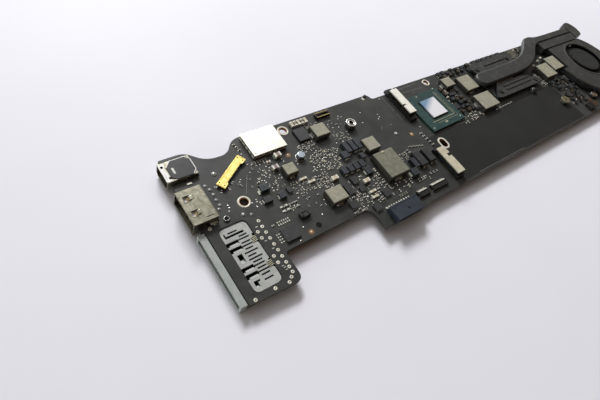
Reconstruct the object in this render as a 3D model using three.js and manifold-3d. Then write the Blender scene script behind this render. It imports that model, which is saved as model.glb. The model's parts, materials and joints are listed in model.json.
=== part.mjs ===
// Main board of a thin laptop: ports and card reader at the left end, chips in the
// middle, heat pipe, fins and blower at the right end.  Millimetres, +Z up.
// Design frame: x = 0 is the front plane of the ports, y = 0 the upper end of the
// card reader, z = 0 the top face of the circuit board.  The last lines move the
// whole group so that its footprint is centred on the origin and it stands on z = 0.
import * as THREE from 'three';
import Module from 'manifold-3d';

const wasm = await Module();
wasm.setup();

// ---------------------------------------------------------------- driving dimensions
const BOARD_THICKNESS = 1.0;
const UNDERSIDE = -BOARD_THICKNESS;
const REST = -3.6;                       // lowest level: card tray and fan tray
const SEAT = 0.02;                       // solder or adhesive gap under a part
const SHEET = 0.3;                       // pressed sheet metal

const EDGE = { upper: 29.5, upperRight: 28.6, lower: -26.3, lowerRight: -25.4, left: 1.4 };
const PORT_ZONE_RIGHT = 21.6;            // right side of the tab that carries the card reader
const FAN_TAIL_RIGHT = 240.5;            // tip of the board that runs below the fan

const READER = { x: [0, 20.6], y: [-26.2, 0], barDepth: 2.3, cardWidth: 24.3, slotHeight: 2.3 };
const USB = { depth: 8.4, y: [2.0, 15.0], z: [-2.9, 2.8] };
const DISPLAY_PORT = { depth: 11.0, y: [20.0, 28.0], z: [-3.1, 1.5] };
const WINDOW = { x: [6.1, 16.2], y: [-24.6, -1.0] };

const FAN = {
  housing: new THREE.Vector2(245, 2), housingRadius: 22.8,
  axis: new THREE.Vector2(247.4, 3.9), inletRadius: 13.3, hubRadius: 8.9, bladeRadius: 13.6,
  blades: 29, z: [REST, 3.6], left: 226.6, notch: 3.0, outlet: 18.2,
  wall: 0.8, plate: 0.6, earReach: 3.4, boardEar: 226, caseEar: -62,
};
const FINS = { x: [223.0, 259.2], y: [18.6, 28.4], step: 23.6, z: [-2.8, 4.0], count: 22, sheet: 0.45 };
const PIPE = { z: [2.02, 4.3], round: 0.6, widthAtChip: 7.8, widthAtFins: 4.4 };
const CHIPSET = { centre: [121.8, 10.4], size: [22, 20], turn: 0.03 };
const PROCESSOR = { x: [161.5, 192.5], y: [1.7, 25.7] };

// Centre of a fastening ear on the rim of the blower.
function earCentre(degrees) {
  const reach = FAN.housingRadius + FAN.earReach;
  const angle = degrees * Math.PI / 180;
  return [FAN.housing.x + reach * Math.cos(angle), FAN.housing.y + reach * Math.sin(angle)];
}

// ---------------------------------------------------------------- materials
function paint(color, roughness, metalness = 0) {
  return new THREE.MeshStandardMaterial({ color, roughness, metalness });
}
const solderMask = () => paint(0x2b2c2e, 0.45);
const steel = () => paint(0xb9b29e, 0.35, 1);
const brightTin = () => paint(0xefece2, 0.2, 1);
const gold = () => paint(0xe2bb55, 0.3, 1);
const readerPlastic = () => paint(0x9fa8a0, 0.55);
const blackPlastic = () => paint(0x17181a, 0.5);
const moldCompound = () => paint(0x1e1f21, 0.6);
const creamPlastic = () => paint(0xe4dcc0, 0.5);
const bluePlastic = () => paint(0x252b36, 0.5);
const ferrite = () => paint(0x8d887a, 0.6);
const blackMetal = () => paint(0x2c2d2b, 0.6, 0.3);
const copper = () => paint(0xb87349, 0.35, 1);

// ---------------------------------------------------------------- helpers
const object = new THREE.Group();

function add(name, geometry, material) {
  const mesh = new THREE.Mesh(geometry, material);
  mesh.name = name;
  object.add(mesh);
  return mesh;
}

function block([x0, x1], [y0, y1], [z0, z1]) {
  const geometry = new THREE.BoxGeometry(x1 - x0, y1 - y0, z1 - z0);
  return geometry.translate((x0 + x1) / 2, (y0 + y1) / 2, (z0 + z1) / 2);
}

// Closed outline through corners [x, y, radius]; the radius rounds that corner.
function roundedShape(corners) {
  const shape = new THREE.Shape();
  corners.forEach(([x, y, radius = 0], i) => {
    const before = corners.at(i - 1);
    const after = corners[(i + 1) % corners.length];
    const here = new THREE.Vector2(x, y);
    const inward = new THREE.Vector2(before[0] - x, before[1] - y).setLength(radius).add(here);
    const outward = new THREE.Vector2(after[0] - x, after[1] - y).setLength(radius).add(here);
    if (i === 0) shape.moveTo(inward.x, inward.y);
    else shape.lineTo(inward.x, inward.y);
    if (radius > 0) shape.quadraticCurveTo(x, y, outward.x, outward.y);
  });
  shape.closePath();
  return shape;
}

function rectangle([x0, x1], [y0, y1], radius = 0) {
  return roundedShape([[x0, y0, radius], [x1, y0, radius], [x1, y1, radius], [x0, y1, radius]]);
}

function circle([x, y], radius) {
  const shape = new THREE.Shape();
  shape.absarc(x, y, radius, 0, 2 * Math.PI, true);
  return shape;
}

function plate(shape, [z0, z1], curveSegments = 6) {
  const settings = { depth: z1 - z0, bevelEnabled: false, curveSegments };
  return new THREE.ExtrudeGeometry(shape, settings).translate(0, 0, z0);
}

function disc([x, y], radius, [z0, z1], sides = 24) {
  const geometry = new THREE.CylinderGeometry(radius, radius, z1 - z0, sides);
  return geometry.rotateX(Math.PI / 2).translate(x, y, (z0 + z1) / 2);
}

// Ring turned about a vertical axis.
function ring([x, y], inner, outer, [z0, z1], sides = 24) {
  const profile = [[inner, z0], [outer, z0], [outer, z1], [inner, z1], [inner, z0]];
  const points = profile.map(([r, z]) => new THREE.Vector2(r, z));
  return new THREE.LatheGeometry(points, sides).rotateX(Math.PI / 2).translate(x, y, 0);
}

function toSolid(geometry) {
  const merged = new Map();
  const verts = [];
  const tris = [];
  const position = geometry.getAttribute('position');
  const index = geometry.index ? geometry.index.array : [...Array(position.count).keys()];
  for (const i of index) {
    const corner = [position.getX(i), position.getY(i), position.getZ(i)];
    const key = corner.map((v) => Math.round(v * 1e4)).join();
    if (!merged.has(key)) {
      merged.set(key, verts.length / 3);
      verts.push(...corner);
    }
    tris.push(merged.get(key));
  }
  const kept = [];
  for (let t = 0; t < tris.length; t += 3) {
    const [a, b, c] = [tris[t], tris[t + 1], tris[t + 2]];
    if (a !== b && b !== c && a !== c) kept.push(a, b, c);
  }
  return new wasm.Manifold(new wasm.Mesh({
    numProp: 3,
    vertProperties: new Float32Array(verts),
    triVerts: new Uint32Array(kept),
  }));
}

function toGeometry(solid) {
  const { vertProperties, triVerts } = solid.getMesh();
  const geometry = new THREE.BufferGeometry();
  geometry.setAttribute('position', new THREE.BufferAttribute(vertProperties, 3));
  geometry.setIndex(new THREE.BufferAttribute(triVerts, 1));
  return geometry;
}

function cut(body, ...tools) {
  return toGeometry(tools.reduce((left, tool) => left.subtract(toSolid(tool)), toSolid(body)));
}

function join(...bodies) {
  return toGeometry(bodies.map(toSolid).reduce((whole, next) => whole.add(next)));
}

// ---------------------------------------------------------------- circuit board
function boardOutline() {
  const { left, upper, upperRight, lower, lowerRight } = EDGE;
  const fanGap = 0.6;
  const arcRadius = FAN.housingRadius + fanGap;
  const arcStart = new THREE.Vector2(221.7, FAN.notch + fanGap);
  const startAngle = arcStart.clone().sub(FAN.housing).angle();
  const endAngle = 2 * Math.PI - Math.acos((FAN_TAIL_RIGHT - FAN.housing.x) / arcRadius);
  const fanEdge = Array.from({ length: 13 }, (_, i) => {
    const angle = startAngle + (endAngle - startAngle) * (i / 12);
    return [FAN.housing.x + arcRadius * Math.cos(angle), FAN.housing.y + arcRadius * Math.sin(angle)];
  });
  return roundedShape([
    [READER.barDepth + 0.3, READER.y[0] - 0.4, 0.8],
    [PORT_ZONE_RIGHT, READER.y[0] - 1.4, 3.0],
    [PORT_ZONE_RIGHT, -17.0, 1.6],
    [58.9, -17.0, 3.4],
    [58.9, lower, 0.8],
    [80.5, lower, 1.5],
    [84.0, lowerRight, 1.5],
    [FAN_TAIL_RIGHT, lowerRight, 1.0],
    ...fanEdge.reverse(),
    [FAN.left - 0.4, FAN.notch + fanGap],
    [FAN.left - 0.4, FINS.y[0] - 0.3],
    [FINS.x[0] - 0.6, FINS.y[0] - 0.3],
    [FINS.x[0] - 0.6, upperRight, 1.0],
    [111.4, upperRight, 0.8],
    [110.4, 26.6, 0.8],
    [97.0, 26.6, 1.0],
    [95.8, upper, 1.0],
    [28.4, upper, 3.5],
    [24.6, 24.2, 3.0],
    [16.0, 24.5, 4.0],
    [10.9, 30.3, 3.0],
    [left, 30.3, 0.8],
    [left, DISPLAY_PORT.y[1] + 0.3],
    [DISPLAY_PORT.depth + 0.3, DISPLAY_PORT.y[1] + 0.3],
    [DISPLAY_PORT.depth + 0.3, DISPLAY_PORT.y[0] - 0.3],
    [left, DISPLAY_PORT.y[0] - 0.3],
    [left, USB.y[1] + 0.3],
    [USB.depth + 0.3, USB.y[1] + 0.3],
    [USB.depth + 0.3, USB.y[0] - 0.3],
    [left, USB.y[0] - 0.3],
    [left, READER.y[1] + 0.3],
    [READER.barDepth + 0.3, READER.y[1] + 0.3],
  ]);
}

const SLOT_HOLE = { x: [110.0, 112.9], y: [-8.0, -3.6] };
const HOLES = [
  { at: [19.3, 4.5], radius: 1.6 },
  { at: [49.1, 25.8], radius: 1.5 },
  { at: [131.4, 25.6], radius: 1.3 },
  { at: earCentre(FAN.boardEar), radius: 1.2 },
];

function addBoard() {
  const outline = boardOutline();
  outline.holes.push(rectangle(WINDOW.x, WINDOW.y, 2));
  outline.holes.push(rectangle(SLOT_HOLE.x, SLOT_HOLE.y, 1.4));
  HOLES.forEach(({ at, radius }) => outline.holes.push(circle(at, radius)));
  add('main_board', plate(outline, [UNDERSIDE, 0], 5), solderMask());
}

// ---------------------------------------------------------------- card reader
function addCardReader() {
  const { x, y, barDepth, cardWidth, slotHeight } = READER;
  const middle = (y[0] + y[1]) / 2;
  const slotY = [middle - cardWidth / 2, middle + cardWidth / 2];
  const slotZ = [REST + 0.6, REST + 0.6 + slotHeight];
  const bar = block([0, barDepth], y, [REST, 0]);
  add('sd_front_frame', cut(bar, block([-1, barDepth + 1], slotY, slotZ)), readerPlastic());

  const tray = block([barDepth + 0.1, x[1]], y, [REST, UNDERSIDE - SEAT]);
  const trayInside = [[0, x[1] - SHEET], [y[0] + SHEET, y[1] - SHEET], [REST + SHEET, 0]];
  add('sd_reader_tray', cut(tray, block(...trayInside)), steel());

  add('sd_reader_cover', readerCover(), paint(0xb9bcb4, 0.4, 0.8));

  const contacts = 9;
  const pitch = 2.5;
  const teeth = Array.from({ length: contacts }, (_, i) => {
    const at = middle + (i - (contacts - 1) / 2) * pitch;
    return block([11.5, 17.4], [at - 0.4, at + 0.4], [-1.55, -1.3]);
  });
  const carrier = block([17.2, x[1] - 0.6], [y[0] + 0.6, y[1] - 0.6], [REST + 0.5, -1.3]);
  add('sd_contact_block', join(carrier, ...teeth), blackPlastic());
}

// Pressed frame that shows through the window of the board. Four wide gaps, open to the front, leave
// two narrow spring fingers between its three blocks; slits part the fingers from the blocks behind.
function readerCover() {
  const gap = 0.2;
  const x = [WINDOW.x[0] + gap, WINDOW.x[1] - gap];
  const y = [WINDOW.y[0] + gap, WINDOW.y[1] - gap];
  const level = [-0.9, -0.35];
  const through = [-1.2, 0];
  const gapEnd = 10.5;
  const wideGaps = [[-7.75, -6.3], [-10.1, -8.55], [-17.15, -15.65], [-19.65, -18.05]];
  const slitWidth = 0.56;
  const slits = [
    [8.6, 11.9, -3.37], [11.3, 14.2, -5.65], [10.3, 14.5, -6.7], [10.9, 14.0, -8.17], [10.3, 14.2, -9.3],
    [10.9, 13.7, -10.5], [10.0, 14.7, -11.72], [10.4, 13.4, -12.95], [10.0, 14.9, -14.17], [10.8, 14.1, -15.32],
    [10.3, 14.3, -16.5], [10.9, 14.1, -17.68], [10.3, 14.7, -18.8], [10.9, 14.0, -20.05], [10.9, 14.1, -21.75],
  ];
  const hookSlot = [[[7.15, 7.65], [-4.85, -3.1]], [[7.15, 13.8], [-4.83, -4.07]]];
  const cornerSlot = [[[7.45, 9.7], [-21.4, -20.8]], [[7.45, 8.8], [-22.9, -20.8]]];
  const squareHole = [[7.45, 9.15], [-14.2, -11.2]];
  const rearNotches = [
    [[15.4, 17], [-7.4, -6.5]], [[15.7, 17], [-10.0, -9.6]],
    [[15.4, 17], [-17.0, -16.3]], [[15.7, 17], [-19.5, -19.0]],
  ];
  return cut(
    plate(rectangle(x, y, 2), level),
    ...wideGaps.map((span) => block([x[0] - 1, gapEnd], span, through)),
    ...slits.map(([from, to, at]) => block([from, to], [at - slitWidth / 2, at + slitWidth / 2], through)),
    ...[...hookSlot, ...cornerSlot, squareHole, ...rearNotches].map(([a, b]) => block(a, b, through)),
  );
}

// ---------------------------------------------------------------- ports
function addPorts() {
  const usbFront = -0.1;
  const shell = block([usbFront, USB.depth], USB.y, USB.z);
  const inside = [[-1, USB.depth - 0.8], [USB.y[0] + SHEET, USB.y[1] - SHEET]];
  const latchHoles = [5.9, 11.6].map((at) => block([1.3, 3.8], [at - 1.1, at + 1.1], [2, 3]));
  const mouth = block(...inside, [USB.z[0] + SHEET, USB.z[1] - SHEET]);
  add('usb_shell', cut(shell, mouth, ...latchHoles), steel());
  const usbRear = USB.depth - 0.9;
  add('usb_tongue', join(
    block([0.9, usbRear], [3.0, 14.0], [0.3, 2.1]),
    block([usbRear - 1, usbRear], [2.5, 14.5], [-2.4, 2.3]),
  ), paint(0xd8d8d2, 0.5));

  const { depth, y, z } = DISPLAY_PORT;
  const chamfer = 1.0;
  const section = (inset) => {
    const [y0, y1, z0, z1] = [y[0] + inset, y[1] - inset, z[0] + inset, z[1] - inset];
    const points = [[y0 + chamfer, z0], [y1 - chamfer, z0], [y1, z0 + chamfer], [y1, z1], [y0, z1], [y0, z0 + chamfer]];
    return roundedShape(points);
  };
  const tube = (inset, from, to) => {
    const settings = { depth: to - from, bevelEnabled: false };
    const geometry = new THREE.ExtrudeGeometry(section(inset), settings);
    return geometry.rotateX(Math.PI / 2).rotateZ(Math.PI / 2).translate(from, 0, 0);
  };
  add('display_port_shell', cut(tube(0, 0.1, depth), tube(SHEET, -1, depth - 1)), steel());
  add('display_port_tongue', join(
    block([0.9, depth - 1.3], [21.6, 26.6], [-1.2, -0.4]),
    block([depth - 3.0, depth - 1.3], [20.7, 27.5], [-1.9, 0.9]),
  ), blackPlastic());
  const pad = roundedShape([[2.2, 21.4], [4.0, 20.2], [9.3, 20.2], [11.0, 21.9], [11.0, 26.0], [9.3, 27.7], [4.4, 27.7], [2.2, 25.4]]);
  add('display_port_pad', plate(pad, [z[1] + SEAT, z[1] + 0.25]), blackPlastic());
}

// ---------------------------------------------------------------- shield and small connectors
function addShieldAndConnectors() {
  const canX = [31.5, 45.6];
  const canY = [18.2, 28.8];
  const canTop = 2.0;
  const wall = 0.25;
  const can = block(canX, canY, [SEAT, canTop]);
  const room = block([canX[0] + wall, canX[1] - wall], [canY[0] + wall, canY[1] - wall], [-1, canTop - wall]);
  add('shield_can', cut(can, room), brightTin());
  add('shielded_chip', block([34.5, 42.5], [20.0, 27.0], [SEAT, 0.9]), moldCompound());

  const turn = 32.2 * Math.PI / 180;
  const [linkX, linkY] = [21.2, 16.45];
  const place = (geometry) => geometry.rotateZ(turn).translate(linkX, linkY, 0);
  const halfLength = 7.5;
  const headLength = 2.2;
  const [near, far, neck] = [-1.7, 1.6, -1.1];
  const barOutline = roundedShape([
    [-halfLength, near, 0.3], [-halfLength + headLength, near, 0.3], [-halfLength + headLength + 0.7, neck],
    [halfLength - headLength - 0.7, neck], [halfLength - headLength, near, 0.3], [halfLength, near, 0.3],
    [halfLength, far, 0.3], [-halfLength, far, 0.3],
  ]);
  const inset = 0.35;
  const base = block([-halfLength + inset, halfLength - inset], [neck + 0.2, far - 0.3], [SEAT, 0.6]);
  add('link_connector_base', place(base), blackPlastic());
  add('link_connector_cover', place(plate(barOutline, [0.65, 1.15])), gold());

  const plugX = [65.2, 72.2];
  const plugY = [25.7, 27.8];
  const trough = block([plugX[0] + 0.7, plugX[1] - 0.7], [plugY[0] + 0.6, plugY[1] - 0.6], [0.4, 2]);
  add('board_to_board_connector', cut(block(plugX, plugY, [SEAT, 1.2]), trough), blackPlastic());
}

// Edge-card connector: a black body with the card slot in one side, a low lug at each
// end, and a pale cap along its top, notched on the side of the slot.
function addCardConnector(name, x, y, lug, top, slotSide, notchY) {
  const capThickness = 0.55;
  const notchDepth = 1.8;
  const lugTop = 1.4;
  const bodyTop = top - capThickness - SEAT;
  const slotLevel = [bodyTop - 1.4, bodyTop - 0.5];
  const slotDepth = 2.2;
  const slotX = slotSide < 0 ? [x[0] - 1, x[0] + slotDepth] : [x[1] - slotDepth, x[1] + 1];
  const slot = block(slotX, [y[0] + 0.8, y[1] - 0.8], slotLevel);
  const lugs = block(x, [y[0] - lug, y[1] + lug], [SEAT, lugTop]);
  add(name, cut(join(block(x, y, [SEAT, bodyTop]), lugs), slot), blackPlastic());
  const cap = block([x[0] + 0.2, x[1] - 0.1], y, [top - capThickness, top]);
  const notchX = slotSide < 0 ? [x[0] - 1, x[0] + notchDepth] : [x[1] - notchDepth, x[1] + 1];
  add(`${name}_cap`, cut(cap, block(notchX, notchY, [bodyTop, top + 1])), creamPlastic());
}

// ---------------------------------------------------------------- flat-flex connectors
const FLEX = { rear: -19.7, front: -22.4, height: 0.9, floor: 0.35, cheek: 0.5, rearDepth: 0.8 };
const LATCH = { depth: 1.6, z: [0.5, 0.95], play: 0.1, behindStep: 0.25 };

function addFlexConnector(number, [x0, x1]) {
  const { rear, front, height, floor, cheek, rearDepth } = FLEX;
  const stepY = rear - rearDepth;
  const body = block([x0, x1], [front, rear], [SEAT, height]);
  const open = block([x0 + cheek, x1 - cheek], [front - 1, stepY], [floor, 2]);
  add(`flex_connector_${number}`, cut(body, open), blackPlastic());
  const latchRear = stepY - LATCH.behindStep;
  const latchX = [x0 + cheek + LATCH.play, x1 - cheek - LATCH.play];
  add(`flex_latch_${number}`, block(latchX, [latchRear - LATCH.depth, latchRear], LATCH.z), blackPlastic());
}

function addBatteryConnector() {
  const x = [63.9, 77.4];
  const y = [-26.6, -20.4];
  const body = block(x, y, [SEAT, 2.5]);
  const mouth = block([x[0] + 1.0, x[1] - 1.0], [y[0] - 1, y[1] - 1.6], [0.6, 1.9]);
  add('battery_connector', cut(body, mouth), bluePlastic());
}

// ---------------------------------------------------------------- chips and passive parts
function addChips() {
  const { centre, size, turn } = CHIPSET;
  const onChipset = (w, d, z, [dx, dy] = [0, 0]) => {
    const geometry = block([dx - w / 2, dx + w / 2], [dy - d / 2, dy + d / 2], z);
    return geometry.rotateZ(turn).translate(centre[0], centre[1], 0);
  };
  add('chipset_substrate', onChipset(...size, [SEAT, 1.0]), paint(0x3d5f58, 0.35));
  add('chipset_die', onChipset(9.6, 9.8, [1.0 + SEAT, 1.7], [-0.6, 0.8]), paint(0x8a93a4, 0.08, 0.9));

  add('processor_substrate', block(PROCESSOR.x, PROCESSOR.y, [SEAT, 0.85]), paint(0x1f2a28, 0.4));
  add('processor_die', block([170.5, 184.0], [10.0, 18.8], [0.87, 1.38]), paint(0x8a93a4, 0.08, 0.9));
  add('charger_chip', block([52.0, 57.0], [18.3, 24.1], [SEAT, 1.0]), moldCompound());
  add('power_manager_chip', block([23.9, 29.4], [-14.9, -9.9], [SEAT, 0.8]), moldCompound());
  [166, 180].forEach((x, i) => {
    const chip = block([x, x + 10.6], [-20, -12], [UNDERSIDE - 1.05, UNDERSIDE - SEAT]);
    add(`memory_chip_${i + 1}`, chip, moldCompound());
  });
}

// Power inductors: x range, y range, height.
const INDUCTORS = [
  [[58.5, 65.0], [16.5, 22.3], 2.5],
  [[37.8, 42.6], [6.3, 10.8], 2.5],
  [[46.0, 53.1], [-10.5, -4.5], 2.5],
  [[74.3, 80.5], [2.8, 8.7], 2.5],
  [[73.5, 83.6], [-11.3, 0.7], 3.0],
  [[137.5, 143.8], [17.8, 23.2], 2.5],
  [[147.0, 155.8], [12.0, 21.0], 2.5],
  [[146.5, 158.0], [-0.4, 8.6], 2.5],
  [[204.8, 214.6], [2.0, 11.2], 3.0],
  [[216.1, 225.6], [4.6, 13.8], 3.0],
];
const TANTALUMS = [
  [[91.2, 94.9], [-11.7, -4.5], 2.0],
  [[96.4, 99.9], [-11.5, -4.9], 2.0],
];

function addPassives() {
  const chamferedBlock = ([x0, x1], [y0, y1], height) => {
    const bevel = 0.25;
    const settings = { depth: height - bevel - SEAT, bevelThickness: bevel, bevelSize: bevel, bevelSegments: 1 };
    const shape = rectangle([x0 + bevel, x1 - bevel], [y0 + bevel, y1 - bevel]);
    const geometry = new THREE.ExtrudeGeometry(shape, settings).translate(0, 0, SEAT);
    return cut(geometry, block([x0 - 1, x1 + 1], [y0 - 1, y1 + 1], [-1, SEAT]));
  };
  INDUCTORS.forEach((size, i) => add(`inductor_${i + 1}`, chamferedBlock(...size), ferrite()));
  TANTALUMS.forEach((size, i) => add(`tantalum_capacitor_${i + 1}`, chamferedBlock(...size), moldCompound()));
}

function addPosts() {
  add('wireless_card_post', ring([76.6, 17.7], 0.9, 2.2, [SEAT, 2.2]), steel());
  add('spacer_post', disc([48.1, 12.5], 1.6, [SEAT, 1.8]), brightTin());
  const ssdPost = [202.0, -12.8];
  add('ssd_screw_post', join(
    disc(ssdPost, 1.7, [SEAT, 1.2]),
    disc(ssdPost, 2.4, [1.1, 2.0]),
  ), brightTin());
}

// ---------------------------------------------------------------- heat sink
function addHeatSink() {
  add('heat_sink_base', block([165, 189], [10.9, 18.2], [1.4, 2.0]), copper());

  const plateLevel = [1.45, 2.4];
  const upperPlate = roundedShape([
    [162.4, 19.2, 0.5], [193.8, 19.2, 1.0], [198.0, 24.6, 1.0], [191.6, 25.0], [186.9, 26.3, 1.0],
    [170.2, 25.4, 1.0], [164.0, 26.0, 1.0], [161.3, 23.2, 0.8],
  ]);
  const lowerPlate = roundedShape([
    [160.6, 2.9, 0.8], [163.0, 2.0, 0.8], [197.6, 2.0, 1.5], [199.4, 4.0, 1.0],
    [195.4, 6.2, 1.0], [188.3, 9.8, 1.0], [167.0, 9.8, 1.0],
  ]);
  add('clamp_plate_upper', plate(upperPlate, plateLevel), blackMetal());
  add('clamp_plate_lower', plate(lowerPlate, plateLevel), blackMetal());

  add('heat_pipe', heatPipe(), blackMetal());
  add('fin_stack', finStack(), blackMetal());
  const bracket = roundedShape([
    [FINS.x[1] + 0.3, 19.0, 0.8], [266.8, 19.6, 2.0], [268.9, 25.5, 3.0], [266.6, 31.3, 2.2],
    [261.0, 31.0, 1.5], [FINS.x[1] + 0.3, 28.4, 0.8],
  ]);
  add('heat_sink_end_bracket', plate(bracket, [1.2, 4.4]), blackMetal());
}

// Flattened pipe: its outline follows the centre line at a width that narrows over the fins.
function heatPipe() {
  const { z, round, widthAtChip, widthAtFins } = PIPE;
  const overFins = FINS.step + 0.3 + widthAtFins / 2;
  const centreLine = new THREE.CatmullRomCurve3([
    [160.2, 14.5], [175, 14.5], [190, 14.8], [200, 16.3], [208.5, 19.9],
    [214, 23.8], [218.8, 26.4], [224, overFins + 0.3], [232, overFins], [245, overFins], [FINS.x[1] - round, overFins],
  ].map(([x, y]) => new THREE.Vector3(x, y, 0)));
  const samples = 40;
  const left = [];
  const right = [];
  for (let i = 0; i <= samples; i += 1) {
    const at = centreLine.getPointAt(i / samples);
    const along = centreLine.getTangentAt(i / samples);
    const narrowing = THREE.MathUtils.smoothstep(at.x, 217, 227);
    const half = THREE.MathUtils.lerp(widthAtChip, widthAtFins, narrowing) / 2 - round;
    left.push(new THREE.Vector2(at.x - along.y * half, at.y + along.x * half));
    right.push(new THREE.Vector2(at.x + along.y * half, at.y - along.x * half));
  }
  const tip = centreLine.getPointAt(0);
  const tipRadius = widthAtChip / 2 - round;
  const tipSteps = 8;
  const nose = [];
  for (let i = 1; i < tipSteps; i += 1) {
    const angle = -Math.PI / 2 - Math.PI * (i / tipSteps);
    nose.push(new THREE.Vector2(tip.x + tipRadius * Math.cos(angle), tip.y + tipRadius * Math.sin(angle)));
  }
  const outline = new THREE.Shape([...left, ...right.reverse(), ...nose]);
  const settings = {
    depth: z[1] - z[0] - 2 * round, bevelThickness: round, bevelSize: round, bevelSegments: 2, curveSegments: 4,
  };
  return new THREE.ExtrudeGeometry(outline, settings).translate(0, 0, z[0] + round);
}

// One folded stack: thin fins between a floor and a roof, lower where the pipe crosses.
function finStack() {
  const { x, y, step, z, count, sheet } = FINS;
  const seatTop = PIPE.z[0] - 0.05;
  const pitch = (x[1] - x[0] - sheet) / count;
  const openings = [];
  for (let i = 0; i < count; i += 1) {
    const from = x[0] + i * pitch + sheet;
    const span = [from, from + pitch - sheet];
    openings.push(block(span, [y[0] - 1, y[1] + 1], [z[0] + 0.4, seatTop - 0.4]));
    openings.push(block(span, [y[0] - 1, step - 0.4], [z[0] + 0.4, z[1] - 0.4]));
  }
  const body = block(x, y, z);
  const seat = block([x[0] - 1, x[1] + 1], [step, y[1] + 1], [seatTop, z[1] + 1]);
  return cut(body, seat, ...openings);
}

// ---------------------------------------------------------------- blower
function fanOutline(inset) {
  const radius = FAN.housingRadius - inset;
  const { x: cx, y: cy } = FAN.housing;
  const top = FAN.outlet;
  const notch = FAN.notch - inset;
  const fromAngle = Math.PI - Math.asin((notch - cy) / radius);
  const toAngle = 2 * Math.PI + Math.asin((top - cy) / radius);
  const steps = 40;
  const shape = new THREE.Shape();
  shape.moveTo(FAN.left + inset, top);
  shape.lineTo(FAN.left + inset, notch);
  for (let i = 0; i <= steps; i += 1) {
    const angle = fromAngle + (toAngle - fromAngle) * (i / steps);
    shape.lineTo(cx + radius * Math.cos(angle), cy + radius * Math.sin(angle));
  }
  shape.closePath();
  return shape;
}

function addFan() {
  const { z, wall, axis, outlet, housing, housingRadius, inletRadius } = FAN;
  const centre = [axis.x, axis.y];
  const lidZ = [z[1] - FAN.plate, z[1]];
  const floorTop = z[0] + FAN.plate;
  const ear = (degrees, level) => {
    const reach = [housingRadius - wall / 2, housingRadius + FAN.earReach];
    const arm = plate(rectangle(reach, [-2.4, 2.4]), level).rotateZ(degrees * Math.PI / 180);
    const at = earCentre(degrees);
    return { at, solids: [arm.translate(housing.x, housing.y, 0), disc(at, 2.4, level)] };
  };
  const boardEar = ear(FAN.boardEar, [0.1, 0.9]);
  const caseEar = ear(FAN.caseEar, [z[0], z[0] + 0.8]);
  const earHoles = [boardEar, caseEar].map(({ at }) => disc(at, 1.1, [-9, 9], 16));
  const room = plate(fanOutline(wall), [floorTop, z[1] + 1]);
  const mouth = block([FAN.left + wall, 259.9], [outlet - 2, outlet + 1], [floorTop, z[1] + 1]);
  const tray = join(plate(fanOutline(0), [z[0], lidZ[0] - SEAT]), ...boardEar.solids, ...caseEar.solids);
  add('fan_tray', cut(tray, room, mouth, ...earHoles), blackPlastic());

  const lid = fanOutline(0);
  lid.holes.push(circle(centre, inletRadius));
  add('fan_cover', plate(lid, lidZ, 12), blackMetal());

  const boreRadius = 1.3;
  const stator = join(
    ring(centre, boreRadius, 6.6, [floorTop + SEAT, 1.2], 20),
    ring(centre, boreRadius, 2.4, [floorTop + SEAT, 1.5], 20),
  );
  add('fan_stator', stator, copper());
  add('fan_impeller', impeller(centre, floorTop), blackPlastic());

  add('fan_board_screw', join(
    disc(boardEar.at, 0.95, [-0.8, 1.0], 12),
    disc(boardEar.at, 1.9, [0.92, 1.7], 16),
  ), brightTin());
}

// Hub cup with backswept blades; the shaft runs in the bore of the stator.
function impeller(centre, floorTop) {
  const { hubRadius, bladeRadius, blades, inletRadius } = FAN;
  const bladeZ = [floorTop + 0.6, 2.2];
  const capZ = [1.9, 3.3];
  const sweep = 0.42;
  const halfThickness = 0.3;
  const outline = new THREE.Shape();
  for (let i = 0; i < blades; i += 1) {
    const root = (i / blades) * 2 * Math.PI;
    const tip = root - sweep;
    const rootHalf = halfThickness / hubRadius;
    const tipHalf = halfThickness / bladeRadius;
    const middleRadius = (hubRadius + bladeRadius) / 2;
    const middleHalf = halfThickness / middleRadius;
    const middleAngle = root - sweep * 0.4;
    const corners = [
      [hubRadius, root - rootHalf], [middleRadius, middleAngle - middleHalf], [bladeRadius, tip - tipHalf],
      [bladeRadius, tip + tipHalf], [middleRadius, middleAngle + middleHalf], [hubRadius, root + rootHalf],
    ];
    corners.forEach(([radius, angle]) => {
      const [x, y] = [centre[0] + radius * Math.cos(angle), centre[1] + radius * Math.sin(angle)];
      if (outline.curves.length === 0 && outline.currentPoint.length() === 0) outline.moveTo(x, y);
      else outline.lineTo(x, y);
    });
  }
  outline.closePath();
  const wheel = join(plate(outline, bladeZ), disc(centre, hubRadius, capZ, 48));
  const cup = disc(centre, hubRadius - 1.2, [bladeZ[0] - 1, capZ[0]], 36);
  const shaft = disc(centre, 0.9, [floorTop + 0.5, capZ[0] + 0.2], 12);
  const edge = ring(centre, inletRadius - 0.6, inletRadius, [bladeZ[0], bladeZ[0] + 0.4], 48);
  return join(cut(wheel, cup), shaft, edge);
}

function addFanLead() {
  const tail = roundedShape([[219.0, -20.4], [219.0, -22.8], [223.5, -22.8], [226.0, -20.6], [226.0, -20.0]]);
  add('fan_flex_tail', plate(tail, [0.08, 0.26]), paint(0xa4622c, 0.4));
  add('fan_connector', block([213.6, 218.9], [-23.4, -19.6], [SEAT, 1.3]), blackPlastic());
}

// ---------------------------------------------------------------- assembly
addBoard();
addCardReader();
addPorts();
addShieldAndConnectors();
addCardConnector('wireless_card_connector', [104.8, 109.0], [11.4, 25.6], 2.2, 3.5, -1, [15.8, 16.6]);
addCardConnector('ssd_connector', [102.1, 106.6], [-21.4, -8.0], 1.0, 3.0, 1, [-13.2, -11.8]);
addBatteryConnector();
addFlexConnector(1, [87.9, 96.7]);
addFlexConnector(2, [80.3, 86.1]);
addChips();
addPassives();
addPosts();
addHeatSink();
addFan();
addFanLead();

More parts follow.
